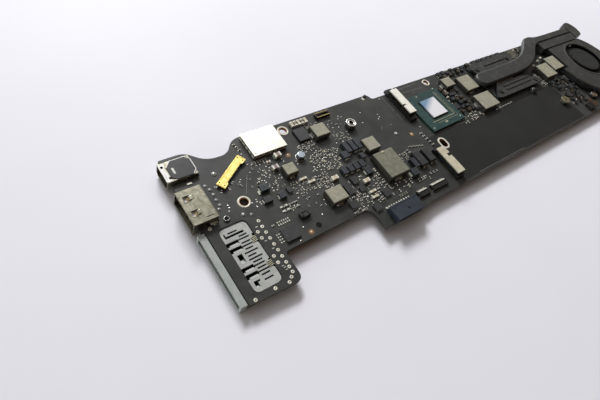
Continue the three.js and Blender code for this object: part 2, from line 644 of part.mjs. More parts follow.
const bounds = new THREE.Box3().setFromObject(object);
const offset = new THREE.Vector3(
  -(bounds.min.x + bounds.max.x) / 2,
  -(bounds.min.y + bounds.max.y) / 2,
  -bounds.min.z,
);
object.position.copy(offset);

const group = new THREE.Group();
group.add(object);
export default group;
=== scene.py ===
"""Bare main board of a thin laptop on a pale table: ports and card reader at the left end,
chips, coils and capacitors in the middle, heat pipe, fins and blower at the right end."""
import json
import math
import random

import bmesh
import bpy
from mathutils import Matrix, Vector


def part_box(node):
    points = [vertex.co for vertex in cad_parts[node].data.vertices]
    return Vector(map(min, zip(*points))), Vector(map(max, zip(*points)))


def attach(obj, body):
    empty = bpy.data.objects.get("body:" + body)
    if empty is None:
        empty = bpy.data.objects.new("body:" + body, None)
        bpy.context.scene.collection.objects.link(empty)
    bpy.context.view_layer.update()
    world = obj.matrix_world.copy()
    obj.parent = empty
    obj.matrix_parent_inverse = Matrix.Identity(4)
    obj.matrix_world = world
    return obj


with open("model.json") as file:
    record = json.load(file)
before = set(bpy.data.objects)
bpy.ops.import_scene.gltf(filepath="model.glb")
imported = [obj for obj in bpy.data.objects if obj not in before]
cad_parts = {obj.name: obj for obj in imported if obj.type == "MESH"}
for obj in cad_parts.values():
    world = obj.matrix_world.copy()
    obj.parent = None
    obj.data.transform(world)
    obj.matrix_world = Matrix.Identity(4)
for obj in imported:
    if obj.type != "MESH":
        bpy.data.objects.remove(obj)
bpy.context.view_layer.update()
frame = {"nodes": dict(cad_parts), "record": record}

# ---- the board's own millimetres
# x = 0 is the front plane of the ports, y = 0 the upper end of the card reader and z = 0 the
# top face of the circuit board, all read from the CAD frame.
MM = 0.001
origin = Vector((
    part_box("sd_front_frame")[0].x,
    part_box("sd_front_frame")[1].y,
    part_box("main_board")[1].z,
))
UNDERSIDE = -1.0


def place(x, y, z):
    return origin + Vector((x, y, z)) * MM


def extent(node):
    """Lowest and highest corner of a CAD node in the board's millimetres."""
    low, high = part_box(node)
    return (low - origin) / MM, (high - origin) / MM


def middle(low, high):
    """Centre of a box over the board."""
    return (low.x + high.x) / 2, (low.y + high.y) / 2


# ---- shading helpers
def feed(links, socket, value):
    """Links a socket to another socket, or gives it a plain value."""
    if isinstance(value, bpy.types.NodeSocket):
        links.new(value, socket)
    else:
        socket.default_value = value


class Finish:
    """A procedural material on a Principled surface, in object coordinates (metres)."""

    def __init__(self, name, rough=0.5, metal=0.0, specular=0.5):
        self.material = bpy.data.materials.new(name)
        self.material.use_nodes = True
        self.nodes = self.material.node_tree.nodes
        self.links = self.material.node_tree.links
        self.surface = self.nodes["Principled BSDF"]
        self.coords = self.nodes.new("ShaderNodeTexCoord").outputs["Object"]
        self.set("Metallic", metal)
        self.set("Roughness", rough)
        self.set("Specular IOR Level", specular)

    def set(self, name, value):
        feed(self.links, self.surface.inputs[name], value)

    def dress(self, colour, rough, normal):
        """Gives the surface its colour, gloss and relief."""
        self.set("Base Color", colour)
        self.set("Roughness", rough)
        self.set("Normal", normal)
        return self

    def node(self, kind, **inputs):
        made = self.nodes.new("ShaderNode" + kind)
        for key, value in inputs.items():
            feed(self.links, made.inputs[key], value)
        return made

    def noise(self, size_mm, detail=3.0, stretch=None):
        """Soft noise whose blobs are about size_mm across."""
        vector = self.coords
        if stretch:
            vector = self.node("Mapping", Vector=vector, Scale=stretch).outputs["Vector"]
        made = self.node("TexNoise", Vector=vector, Scale=1 / (size_mm * MM), Detail=detail)
        return made.outputs["Fac"]

    def clouds(self, size_mm, low, high, detail=3.0):
        """Soft noise as a blend from one colour or grey to another."""
        return self.ramp(self.noise(size_mm, detail), (0.3, low), (0.7, high))

    def cells(self, size_mm, output="Distance"):
        made = self.node("TexVoronoi", Vector=self.coords, Scale=1 / (size_mm * MM))
        return made.outputs[output]

    def facing_up(self):
        """1 on faces that look up, 0 on upright ones and -1 on faces that look down."""
        normal = self.node("NewGeometry").outputs["Normal"]
        return self.node("SeparateXYZ", Vector=normal).outputs["Z"]

    def ramp(self, value, *stops):
        """Colour ramp; a stop is (position, colour or grey)."""
        made = self.node("ValToRGB", Fac=value)
        elements = made.color_ramp.elements
        while len(elements) < len(stops):
            elements.new(0.5)
        for element, (position, colour) in zip(elements, stops):
            if not isinstance(colour, tuple):
                colour = (colour, colour, colour)
            element.position = position
            element.color = (*colour, 1.0)
        return made.outputs["Color"]

    def mix(self, factor, one, two, blend="MIX"):
        made = self.nodes.new("ShaderNodeMix")
        made.data_type = "RGBA"
        made.blend_type = blend
        for socket, value in zip((made.inputs[0], made.inputs[6], made.inputs[7]), (factor, one, two)):
            feed(self.links, socket, (*value, 1.0) if isinstance(value, tuple) else value)
        return made.outputs[2]

    def fade(self, mask, strength):
        """Mask dimmed to a grey strength."""
        return self.mix(1.0, mask, (strength, strength, strength), "MULTIPLY")

    def maths(self, operation, one, two=0.0):
        made = self.nodes.new("ShaderNodeMath")
        made.operation = operation
        for socket, value in zip(made.inputs, (one, two)):
            feed(self.links, socket, value)
        return made.outputs[0]

    def bump(self, height, depth_mm, strength=1.0, before=None):
        made = self.node("Bump", Height=height, Strength=strength, Distance=depth_mm * MM)
        if before is not None:
            self.links.new(before, made.inputs["Normal"])
        return made.outputs["Normal"]


def moulded(name, dark, pale, rough=0.5, specular=0.5):
    """Moulded plastic: mottled colour, fine grain and uneven gloss."""
    f = Finish(name, specular=specular)
    colour = f.clouds(2.2, dark, pale)
    gloss = f.ramp(f.noise(0.9), (0.3, rough - 0.08), (0.75, rough + 0.12))
    return f.dress(colour, gloss, f.bump(f.noise(0.12, 2.0), 0.01, 0.5))


def metal(name, dark, pale, rough=0.25, smudge=0.15, wave_mm=0.02):
    """Sheet metal: tarnish clouds, fine scratches and slightly wavy reflections."""
    f = Finish(name, metal=1.0)
    clouds = f.noise(1.6, 4.0)
    scratches = f.noise(0.15, 2.0, stretch=(1, 0.06, 1))
    streaks = f.ramp(scratches, (0.35, rough), (0.7, rough + smudge))
    wavy = f.bump(f.noise(3.0, 1.0), wave_mm, 0.6)
    normal = f.bump(scratches, 0.002, 0.35, before=wavy)
    return f.dress(f.ramp(clouds, (0.3, dark), (0.68, pale)), streaks, normal)


# left, right, lower and upper limit of the bare area under the plug-in drive
DRIVE_AREA = (104.5, 206.0, -24.6, -0.8)


def solder_mask():
    """Dark satin lacquer with traces, vias and copper areas that show faintly through it."""
    f = Finish("solder_mask", specular=0.3)
    split = f.node("SeparateXYZ", Vector=f.coords)
    x, y = split.outputs["X"], split.outputs["Y"]
    # faint tracks, in patches
    tracks = []
    for turn in (0.0, math.pi / 2):
        mapping = f.node("Mapping", Vector=f.coords, Rotation=(0, 0, turn))
        wave = f.node("TexWave", Vector=mapping.outputs["Vector"], Scale=620.0, Distortion=1.6,
                      **{"Detail Scale": 0.7})
        patch = f.ramp(f.noise(5.0 + 2 * turn, 2.0), (0.5, 0.0), (0.56, 1.0))
        line = f.ramp(wave.outputs["Fac"], (0.6, 0.0), (0.72, 1.0))
        tracks.append(f.mix(1.0, patch, line, "MULTIPLY"))
    pattern = f.mix(1.0, tracks[0], tracks[1], "LIGHTEN")
    vias = f.ramp(f.cells(1.3), (0.10, 1.0), (0.14, 0.0))
    holes = f.ramp(f.cells(1.3), (0.04, 1.0), (0.06, 0.0))
    pours = f.ramp(f.cells(9.0, "Color"), (0.35, 0.0), (0.6, 1.0))
    base = f.ramp(f.noise(8.0, 3.0), (0.35, (0.030, 0.033, 0.029)), (0.7, (0.046, 0.049, 0.044)))
    base = f.mix(f.fade(pours, 0.22), base, (0.056, 0.058, 0.054))
    base = f.mix(f.fade(pattern, 0.16), base, (0.10, 0.10, 0.098))
    base = f.mix(f.fade(vias, 0.30), base, (0.12, 0.12, 0.115))
    base = f.mix(f.fade(holes, 0.55), base, (0.008, 0.008, 0.009))
    # the wide bare area under the plug-in drive is plain and darker
    inside = None
    left, right, lower, upper = DRIVE_AREA
    for axis, test, shift, value in (
        (x, "GREATER_THAN", origin.x, left), (x, "LESS_THAN", origin.x, right),
        (y, "LESS_THAN", origin.y, upper), (y, "GREATER_THAN", origin.y, lower),
    ):
        step = f.maths(test, axis, shift + value * MM)
        inside = step if inside is None else f.maths("MULTIPLY", inside, step)
    plain = f.clouds(14.0, (0.013, 0.014, 0.013), (0.019, 0.020, 0.019))
    base = f.mix(inside, base, plain)
    # bare glass laminate on the cut edges
    side = f.maths("LESS_THAN", f.maths("ABSOLUTE", f.facing_up()), 0.5)
    layers = f.noise(0.25, 2.0, stretch=(0.02, 0.02, 1))
    laminate = f.ramp(layers, (0.35, (0.018, 0.017, 0.015)), (0.65, (0.055, 0.050, 0.040)))
    gloss = f.mix(inside, f.ramp(f.noise(4.0, 4.0), (0.3, 0.36), (0.75, 0.50)), (0.56, 0.56, 0.56))
    relief = f.mix(0.5, f.mix(1.0, pattern, vias, "LIGHTEN"), f.noise(0.08, 2.0))
    return f.dress(f.mix(side, base, laminate), gloss, f.bump(relief, 0.02, 0.25))


def pressed_powder(name="pressed_powder", tint=(1.0, 1.0, 1.0)):
    """Coil bodies: pressed iron powder, speckled, a little chipped, with painted shade that darkens the
    upright sides.
    """
    f = Finish(name, specular=0.4)
    speck = f.cells(0.16)
    low = tuple(a * b for a, b in zip((0.26, 0.248, 0.178), tint))
    high = tuple(a * b for a, b in zip((0.40, 0.382, 0.280), tint))
    body = f.ramp(f.noise(1.4, 5.0), (0.3, low), (0.72, high))
    body = f.mix(f.ramp(speck, (0.12, 0.55), (0.3, 0.0)), body, (0.09, 0.082, 0.066))
    shade = f.node("ObjectInfo").outputs["Random"]
    body = f.mix(f.maths("MULTIPLY", shade, 0.35), body, (0.30, 0.29, 0.26))
    # painted shade: upright sides get a near-black colour, faces that look up keep the speckled body
    colour = f.mix(f.ramp(f.facing_up(), (0.35, 0.0), (0.9, 1.0)), (0.045, 0.042, 0.034), body)
    gloss = f.clouds(0.5, 0.42, 0.62)
    return f.dress(colour, gloss, f.bump(f.mix(0.5, speck, f.noise(0.3, 4.0)), 0.03, 0.5))


def compound():
    """Chip moulding: matt black with pale filler grains."""
    f = Finish("mold_compound", specular=0.45)
    grains = f.ramp(f.cells(0.11), (0.08, 1.0), (0.2, 0.0))
    body = f.clouds(1.8, (0.018, 0.019, 0.021), (0.040, 0.041, 0.043))
    colour = f.mix(f.fade(grains, 0.25), body, (0.12, 0.12, 0.12))
    gloss = f.clouds(0.6, 0.42, 0.6)
    return f.dress(colour, gloss, f.bump(f.noise(0.09, 3.0), 0.012, 0.6))


def carrier():
    """Chip carrier: blue-green lacquer over a fine copper weave."""
    f = Finish("carrier", specular=0.4)
    weave = f.node("TexBrick", Vector=f.coords, Scale=900.0)
    tone = f.clouds(2.5, (0.008, 0.034, 0.036), (0.024, 0.066, 0.062))
    lines = f.ramp(f.noise(0.35, 2.0, stretch=(1, 0.15, 1)), (0.52, 0.0), (0.6, 0.3))
    gloss = f.clouds(1.2, 0.36, 0.5)
    return f.dress(f.mix(lines, tone, (0.07, 0.11, 0.08)), gloss, f.bump(weave.outputs["Fac"], 0.01, 0.25))


def silicon_painted_reflection():
    """Bare die: a partly diffuse mirror with a painted reflection in its colour, blue-grey at one corner and
    near white over the rest.
    """
    f = Finish("silicon_painted_reflection", metal=0.25, specular=0.8)
    # painted reflection: the base colour runs from near white to blue-grey towards one corner of the die
    corner = f.node("VectorMath", Vector=f.coords)
    corner.operation = "DOT_PRODUCT"
    corner.inputs[1].default_value = (-0.55, 0.83, 0.0)
    start = (origin.y + 14.5 * MM) * 0.83 - (origin.x + 118.0 * MM) * 0.55
    tint = f.maths("MULTIPLY", f.maths("SUBTRACT", corner.outputs["Value"], start - 5.5 * MM), 1 / (6.5 * MM))
    colour = f.ramp(tint, (0.25, (0.97, 0.96, 1.0)), (0.75, (0.22, 0.36, 0.52)))
    gloss = f.ramp(f.noise(1.5, 4.0), (0.35, 0.12), (0.75, 0.24))
    return f.dress(colour, gloss, f.bump(f.noise(4.0, 1.0), 0.004, 0.4))


def painted():
    """Matt black paint on copper and aluminium, rubbed a little paler in places."""
    f = Finish("black_paint")
    rubbed = f.ramp(f.noise(3.2, 5.0), (0.48, 0.0), (0.72, 1.0))
    tone = f.mix(rubbed, (0.030, 0.032, 0.030), (0.056, 0.058, 0.053))
    grain = f.noise(0.10, 3.0)
    colour = f.mix(f.ramp(grain, (0.55, 0.0), (0.7, 0.35)), tone, (0.055, 0.056, 0.052))
    gloss = f.clouds(1.0, 0.36, 0.52)
    return f.dress(colour, gloss, f.bump(grain, 0.018, 0.55))


def film(name, dark, pale, rough=0.3):
    """Glossy film or thin laminate, a little wavy."""
    f = Finish(name, specular=0.6)
    gloss = f.clouds(0.6, rough, rough + 0.15)
    colour = f.clouds(1.5, dark, pale)
    return f.dress(colour, gloss, f.bump(f.noise(1.8, 1.0), 0.03, 0.4))


def table_top():
    f = Finish("table_top", rough=0.6, specular=0.25)
    f.set("Base Color", f.clouds(60.0, (0.84, 0.84, 0.90), (0.86, 0.86, 0.915)))
    f.set("Normal", f.bump(f.noise(0.8, 3.0), 0.01, 0.1))
    return f


FINISHES = {
    "solder_mask": solder_mask(),
    "steel": metal("port_steel", (0.19, 0.178, 0.130), (0.33, 0.315, 0.245), 0.27, wave_mm=0.08),
    "reader_metal": moulded("reader_cover", (0.36, 0.38, 0.35), (0.46, 0.47, 0.44), 0.42),
    "bright_tin": metal("bright_tin", (0.74, 0.72, 0.66), (0.90, 0.88, 0.83), 0.16, 0.1),
    "gold": metal("gold_flash", (0.70, 0.46, 0.12), (0.90, 0.68, 0.30), 0.2),
    "reader_plastic": moulded("reader_bar", (0.33, 0.36, 0.34), (0.40, 0.43, 0.40), 0.45),
    "white_plastic": moulded("white_moulding", (0.56, 0.56, 0.52), (0.70, 0.70, 0.66)),
    "black_plastic": moulded("black_moulding", 0.008, 0.017, 0.45, 0.4),
    "mold_compound": compound(),
    "cream_plastic": moulded("cream_moulding", (0.50, 0.45, 0.33), (0.66, 0.61, 0.48), 0.36),
    "blue_plastic": moulded("blue_moulding", (0.018, 0.026, 0.038), (0.030, 0.040, 0.056), 0.42),
    "ferrite": pressed_powder(),
    "green_laminate": carrier(),
    "dark_laminate": film("dark_carrier", (0.008, 0.013, 0.012), (0.016, 0.024, 0.022), 0.35),
    "silicon": silicon_painted_reflection(),
    "copper": metal("bare_copper", (0.20, 0.085, 0.035), (0.36, 0.17, 0.08), 0.35),
    "black_metal": painted(),
    "polyimide": film("polyimide_film", (0.045, 0.024, 0.011), (0.085, 0.046, 0.022)),
}
SOLDER = metal("solder", (0.42, 0.42, 0.37), (0.62, 0.61, 0.55), 0.3, 0.2)
TINNED = moulded("tinned_ring", (0.56, 0.54, 0.44), (0.80, 0.77, 0.65), 0.3, 0.9)
TERMINAL = moulded("terminal_tin", (0.58, 0.57, 0.48), (0.88, 0.86, 0.75), 0.28, 0.9)
FAINT = moulded("faint_line", (0.13, 0.135, 0.125), (0.22, 0.225, 0.21), 0.4)
BROWN_CERAMIC = moulded("brown_ceramic", (0.17, 0.125, 0.10), (0.30, 0.225, 0.19), 0.35)
CREAM_CERAMIC = moulded("cream_ceramic", (0.46, 0.40, 0.27), (0.66, 0.59, 0.43), 0.35)
BLUE_GREY = moulded("blue_grey_block", (0.016, 0.020, 0.025), (0.034, 0.041, 0.049), 0.36)
BRASS = moulded("brass_foil", (0.24, 0.23, 0.15), (0.40, 0.38, 0.26), 0.34)
HALO = moulded("bare_laminate", (0.16, 0.075, 0.022), (0.28, 0.14, 0.045), 0.4)
# near-black matt finish: painted shade in holes, slots, dents and recesses, and the colour of a few black
# parts
BLACK_AND_PAINTED_SHADE = moulded("black_and_painted_shade", 0.005, (0.010, 0.009, 0.008), 0.8, 0.15)
UMBER = moulded("umber_block", (0.030, 0.022, 0.015), (0.060, 0.046, 0.032), 0.4)
SPRING_HEAD = metal("spring_head", (0.52, 0.50, 0.36), (0.74, 0.72, 0.56), 0.3)
LINK_GOLD = metal("link_gold", (0.70, 0.52, 0.12), (0.90, 0.76, 0.32), 0.3, 0.12, wave_mm=0.08)
SPRING_GOLD = metal("spring_gold", (0.30, 0.19, 0.07), (0.60, 0.45, 0.24), 0.3)
DARK_STEEL = metal("dark_steel", (0.16, 0.155, 0.14), (0.28, 0.27, 0.24), 0.35)
COOL_STEEL = metal("cool_steel", (0.24, 0.28, 0.31), (0.42, 0.47, 0.50), 0.35)
CREAM_STEEL = metal("cream_steel", (0.20, 0.188, 0.14), (0.40, 0.385, 0.31), 0.28, 0.4, wave_mm=0.08)
GREY_TIN = moulded("grey_tin", (0.11, 0.115, 0.105), (0.22, 0.225, 0.21), 0.35, 0.6)
DIM_FOIL = metal("dim_foil", (0.15, 0.15, 0.115), (0.34, 0.335, 0.27), 0.36)
IVORY = moulded("ivory_cap", (0.80, 0.78, 0.68), (0.95, 0.93, 0.85), 0.3, 0.8)
DIM_GOLD = metal("dim_gold", (0.50, 0.36, 0.10), (0.70, 0.53, 0.22), 0.3)
SPECIAL = {
    "wireless_card_connector_cap": IVORY,
    "link_connector_cover": LINK_GOLD,
    "ssd_screw_post": metal("worn_nickel", (0.34, 0.32, 0.21), (0.62, 0.60, 0.44), 0.3),
    "wireless_card_post": DARK_STEEL,
    "spacer_post": COOL_STEEL,
    "display_port_shell": CREAM_STEEL,
    "inductor_5": pressed_powder("olive_powder", (0.55, 0.58, 0.57)),
    "fan_impeller": moulded("matt_hub", (0.016, 0.017, 0.015), (0.030, 0.031, 0.028), 0.65, 0.25),
    "shield_can": metal("can_tin", (0.78, 0.75, 0.58), (0.97, 0.96, 0.90), 0.24, 0.2, 0.05),
}

# ---- places that several pieces share, as (x, y)
SCREW_HOLES = ((19.3, 4.5), (49.1, 25.8), (131.4, 25.6))
SPACER = (76.6, 17.7)
CARD_POST = (202.0, -12.8)
FOIL_HOLE = (208.4, 26.4)
FAN_AXIS = (247.4, 3.9)
COVER_CENTRE = (245.0, 2.0)

# ---- CAD nodes keep their shape
SLOT_OF = {part["node"]: part["material_slot"] for part in frame["record"]["subparts"]}
BEVELS = {
    "main_board": 0.08, "usb_shell": 0.0, "usb_tongue": 0.1, "display_port_shell": 0.12, "shield_can": 0.22,
    "battery_connector": 0.18, "heat_pipe": 0.55, "clamp_plate_upper": 0.22, "clamp_plate_lower": 0.22,
    "heat_sink_end_bracket": 0.5, "fan_cover": 0.12, "fan_tray": 0.12, "fan_impeller": 0.05,
    "fin_stack": 0.0, "sd_reader_tray": 0.1, "sd_front_frame": 0.16, "sd_reader_cover": 0.08,
    "spacer_post": 0.3, "ssd_screw_post": 0.15, "wireless_card_post": 0.15,
}


def round_edges(obj, width_mm, segments):
    if width_mm:
        bevel = obj.modifiers.new("edges", "BEVEL")
        bevel.width = width_mm * MM
        bevel.segments = segments
        bevel.limit_method = "ANGLE"
        bevel.angle_limit = math.radians(40)


for node, obj in frame["nodes"].items():
    obj.data.materials.clear()
    obj.data.materials.append(SPECIAL.get(node, FINISHES[SLOT_OF[node]]).material)
    width = BEVELS.get(node, 0.25 if SLOT_OF[node] == "ferrite" else 0.08)
    obj.modifiers.new("weld", "WELD").merge_threshold = 1e-6
    round_edges(obj, width, 3 if width > 0.2 else 2)


# ---- mesh helpers
class Batch:
    """Many small shapes with one finish, joined in one piece that rides on one body."""

    begun = []

    def __init__(self, name, slot, finish=None, body="board", bevel=0.0, segments=1):
        self.name, self.slot, self.body = name, slot, body
        self.finish = finish or FINISHES[slot]
        self.bevel, self.segments = bevel, segments
        self.mesh = bmesh.new()
        Batch.begun.append(self)

    def skin(self, loops, smooth=False):
        """Joins each loop of vertices to the next with a band of faces."""
        for low, high in loops:
            for i in range(len(low)):
                j = (i + 1) % len(low)
                self.mesh.faces.new((low[i], low[j], high[j], high[i])).smooth = smooth

    def loft(self, *outlines, smooth=False):
        """Closed solid through outlines of equal length, each a list of (x, y, z) in millimetres."""
        loops = [[self.mesh.verts.new(place(*point)) for point in outline] for outline in outlines]
        self.mesh.faces.new(loops[0][::-1])
        self.mesh.faces.new(loops[-1])
        self.skin(zip(loops, loops[1:]), smooth)

    def tube(self, outlines, smooth=False):
        """Band through (outline, z) pairs and back to the first, hollow in the middle."""
        loops = [[self.mesh.verts.new(place(x, y, z)) for x, y in outline] for outline, z in outlines]
        self.skin(zip(loops, loops[1:] + loops[:1]), smooth)

    def prism(self, outline, z0, z1, inset=0.0, smooth=False):
        """Upright prism over (x, y) corners; inset draws the top in towards the middle."""
        cx = sum(p[0] for p in outline) / len(outline)
        cy = sum(p[1] for p in outline) / len(outline)
        top = []
        for x, y in outline:
            reach = math.hypot(x - cx, y - cy) or 1.0
            k = 1 - inset / reach
            top.append((cx + (x - cx) * k, cy + (y - cy) * k, z1))
        self.loft([(x, y, z0) for x, y in outline], top, smooth=smooth)

    def block(self, x, y, sx, sy, z0, z1, turn=0.0, inset=0.0):
        self.prism(corners(x, y, sx, sy, turn), z0, z1, inset)

    def bar(self, start, end, width, z0, z1):
        (x0, y0), (x1, y1) = start, end
        turn = math.atan2(y1 - y0, x1 - x0)
        length = math.hypot(x1 - x0, y1 - y0)
        self.block((x0 + x1) / 2, (y0 + y1) / 2, length, width, z0, z1, turn)

    def disc(self, x, y, radius, z0, z1, sides=20, inset=0.0):
        self.prism(round_outline(x, y, radius, sides), z0, z1, inset, smooth=True)

    def dome(self, x, y, z, radius, height, sides=12, levels=3):
        rings = []
        for i in range(levels + 1):
            lift = i / levels * math.radians(78)
            rings.append([(px, py, z + height * math.sin(lift))
                          for px, py in round_outline(x, y, radius * math.cos(lift), sides)])
        self.loft(*rings, smooth=True)

    def ring(self, x, y, inner, outer, z0, z1, sides=28, crown=0.0):
        """Flat or crowned ring round (x, y)."""
        profile = [(inner, z0), (outer, z0), (outer, z1)]
        if crown:
            profile.append(((inner + outer) / 2, z1 + crown))
        profile.append((inner, z1))
        self.tube([(round_outline(x, y, r, sides), z) for r, z in profile], bool(crown))

    def ribbon(self, points, width, z0, z1):
        """Flat band along a polyline, with mitred corners."""
        left, right = [], []
        for i, (x, y) in enumerate(points):
            ahead = points[min(i + 1, len(points) - 1)]
            behind = points[max(i - 1, 0)]
            first = Vector((x - behind[0], y - behind[1]))
            last = Vector((ahead[0] - x, ahead[1] - y))
            first = first.normalized() if first.length else last.normalized()
            last = last.normalized() if last.length else first
            along = (first + last).normalized()
            half = width / 2 / max(0.4, along.dot(first))
            left.append((x - along.y * half, y + along.x * half))
            right.append((x + along.y * half, y - along.x * half))
        self.prism(right + left[::-1], z0, z1)

    def wedge(self, x, y, length, width, z, height, turn):
        """Solder fillet that falls away from a terminal in the direction of turn."""
        c, s = math.cos(turn), math.sin(turn)

        def at(u, v, w):
            return self.mesh.verts.new(place(x + u * c - v * s, y + u * s + v * c, z + w))

        half = width / 2
        a, b = at(0, -half, 0), at(0, half, 0)
        d, e = at(length, half * 0.9, 0), at(length, -half * 0.9, 0)
        g, h = at(0, -half * 0.8, height), at(0, half * 0.8, height)
        for face in ((a, b, d, e), (a, g, h, b), (g, e, d, h), (a, e, g), (b, h, d)):
            self.mesh.faces.new(face)

    def done(self):
        bmesh.ops.recalc_face_normals(self.mesh, faces=self.mesh.faces)
        data = bpy.data.meshes.new(self.name)
        self.mesh.to_mesh(data)
        self.mesh.free()
        obj = bpy.data.objects.new(self.name, data)
        bpy.context.scene.collection.objects.link(obj)
        data.materials.append(self.finish.material)
        round_edges(obj, self.bevel, self.segments)
        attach(obj, self.body)


def corners(x, y, sx, sy, turn=0.0):
    c, s = math.cos(turn), math.sin(turn)
    signs = ((-1, -1), (1, -1), (1, 1), (-1, 1))
    return [(x + c * a * sx / 2 - s * b * sy / 2, y + s * a * sx / 2 + c * b * sy / 2) for a, b in signs]


def turned_point(centre, turn, u, v):
    """Point u along and v across a part that is turned about its centre."""
    c, s = math.cos(turn), math.sin(turn)
    return centre[0] + u * c - v * s, centre[1] + u * s + v * c


def round_outline(x, y, radius, sides):
    turns = (2 * math.pi * i / sides for i in range(sides))
    return [(x + radius * math.cos(t), y + radius * math.sin(t)) for t in turns]


# ---- small soldered parts
terminals = Batch("terminals", "bright_tin", TERMINAL, bevel=0.03)
fillets = Batch("solder_fillets", "bright_tin", SOLDER)
dark_parts = Batch("dark_parts", "mold_compound", bevel=0.03)
brown_parts = Batch("brown_capacitors", "ferrite", BROWN_CERAMIC, bevel=0.04)
brown_blocks = Batch("brown_blocks", "ferrite", UMBER, bevel=0.08, segments=2)
cream_parts = Batch("cream_capacitors", "cream_plastic", CREAM_CERAMIC, bevel=0.05)
grey_blocks = Batch("grey_blocks", "blue_plastic", BLUE_GREY, bevel=0.1, segments=2)
BODIES = {"dark": dark_parts, "brown": brown_parts, "cream": cream_parts}
# rectangles (x0, y0, x1, y1) with no room for more: heat pipe, card window, blower, then each part
taken = [(168, 9, 224, 32), (5.5, -25.2, 16.8, -0.4), (222.5, -24, 270, 32)]
OFF_THE_BOARD = (
    "main_board", "sd_reader_tray", "sd_contact_block", "fan_tray", "fan_cover", "fan_impeller",
    "heat_pipe", "fan_stator", "link_connector_base", "link_connector_cover",
)
for node in frame["nodes"]:
    low, high = extent(node)
    if node not in OFF_THE_BOARD and low.z >= -0.5 and high.z > 0.1:
        taken.append((low.x - 0.15, low.y - 0.15, high.x + 0.15, high.y + 0.15))


def free(x, y, sx, sy, gap=0.12):
    box = (x - sx / 2 - gap, y - sy / 2 - gap, x + sx / 2 + gap, y + sy / 2 + gap)
    return all(box[2] < t[0] or box[0] > t[2] or box[3] < t[1] or box[1] > t[3] for t in taken)


def claim(x, y, sx, sy):
    taken.append((x - sx / 2, y - sy / 2, x + sx / 2, y + sy / 2))


def passive(x, y, length=1.0, width=0.5, height=0.4, upright=False, kind="dark", below=False):
    """Chip resistor or capacitor: body, two tinned ends and their solder."""
    turn = math.pi / 2 if upright else 0.0
    ux, uy = (0, 1) if upright else (1, 0)
    base = UNDERSIDE if below else 0.0
    sign = -1 if below else 1
    end = 0.25 * length

    def levels(low, high):
        return sorted((base + sign * low, base + sign * high))

    BODIES[kind].block(x, y, length - 2 * end + 0.02, width * 0.96, *levels(0.03, height * 0.97), turn)
    for side in (-1, 1):
        px = x + ux * side * (length - end) / 2
        py = y + uy * side * (length - end) / 2
        terminals.block(px, py, end, width, *levels(0.01, height), turn)
        tip = turn + (0 if side > 0 else math.pi)
        ex = x + ux * side * length / 2
        ey = y + uy * side * length / 2
        fillets.wedge(ex, ey, 0.14 * length, width, base, sign * height * 0.6, tip)
    if not below:
        sx, sy = (width, length * 1.4) if upright else (length * 1.4, width)
        claim(x, y, sx, sy)


def chip_row(start, end, count, length, width, upright=False):
    (x0, y0), (x1, y1) = start, end
    for k in (i / (count - 1) for i in range(count)):
        passive(x0 + (x1 - x0) * k, y0 + (y1 - y0) * k, length, width, upright=upright)


def spot_in(quad, draw):
    """Random point of a four-sided field."""
    a, b, c, d = (Vector(p) for p in quad)
    u, v = draw.random(), draw.random()
    return a.lerp(b, u).lerp(d.lerp(c, u), v)


def scatter(quad, count, seed, kinds, small, large, bright):
    """Fills a four-sided field with aligned chip parts, on a grid with a little play."""
    draw = random.Random(seed)
    made = tries = 0
    while made < count and tries < count * 30:
        tries += 1
        spot = spot_in(quad, draw)
        x, y = round(spot.x / 0.35) * 0.35, round(spot.y / 0.35) * 0.35
        length = draw.uniform(small, large)
        width = length * 0.52
        upright = draw.random() < 0.5
        kind = draw.choice(kinds)
        sx, sy = (width, length * 1.4) if upright else (length * 1.4, width)
        if not free(x, y, sx, sy):
            continue
        if draw.random() < bright:
            terminals.dome(x, y, 0.0, width * 0.72, 0.2, 8, 2)
            claim(x, y, width, width)
        else:
            passive(x, y, length, width, length * 0.36, upright, kind)
        made += 1


def aligned(axis, along, across):
    """(x, y) of a length along an axis and a breadth across it."""
    return (along, across) if axis == "x" else (across, along)


def moulded_block(x0, x1, y0, y1, height, batch=grey_blocks, leads="y"):
    """Moulded two-lead part: chamfered body and a flat lead at each end."""
    x, y, sx, sy = (x0 + x1) / 2, (y0 + y1) / 2, x1 - x0, y1 - y0
    length, breadth = aligned(leads, sx, sy)
    batch.block(x, y, sx, sy, 0.06, height, inset=0.12)
    for side in (-1, 1):
        dx, dy = aligned(leads, side * (length / 2 + 0.06), 0.0)
        terminals.block(x + dx, y + dy, *aligned(leads, 0.3, breadth * 0.6), 0.01, height * 0.45)
    claim(x, y, sx + 0.3, sy + 0.3)


def flat_chip(x0, x1, y0, y1, height=0.75, pins=4):
    """Small leadless chip with a row of tinned pads along two sides."""
    x, y, sx, sy = (x0 + x1) / 2, (y0 + y1) / 2, x1 - x0, y1 - y0
    dark_parts.block(x, y, sx, sy, 0.04, height)
    for i in range(pins):
        k = (i + 0.5) / pins - 0.5
        for side in (-1, 1):
            terminals.block(x + k * sx, y + side * sy / 2, sx / pins * 0.5, 0.36, 0.01, 0.16)
    claim(x, y, sx + 0.4, sy + 0.4)


def block_field(quad, count, seed):
    """Dark square-cut parts of mixed sizes, close together, with their leads hidden beneath."""
    draw = random.Random(seed)
    for _ in range(count * 12):
        spot = spot_in(quad, draw)
        sx, sy = draw.uniform(1.6, 3.0), draw.uniform(1.1, 2.1)
        if not free(spot.x, spot.y, sx, sy, 0.1):
            continue
        batch = draw.choice((dark_parts, dark_parts, grey_blocks, brown_blocks))
        batch.block(spot.x, spot.y, sx, sy, 0.04, draw.uniform(0.7, 1.5), inset=0.05)
        claim(spot.x, spot.y, sx, sy)
        count -= 1
        if count == 0:
            break


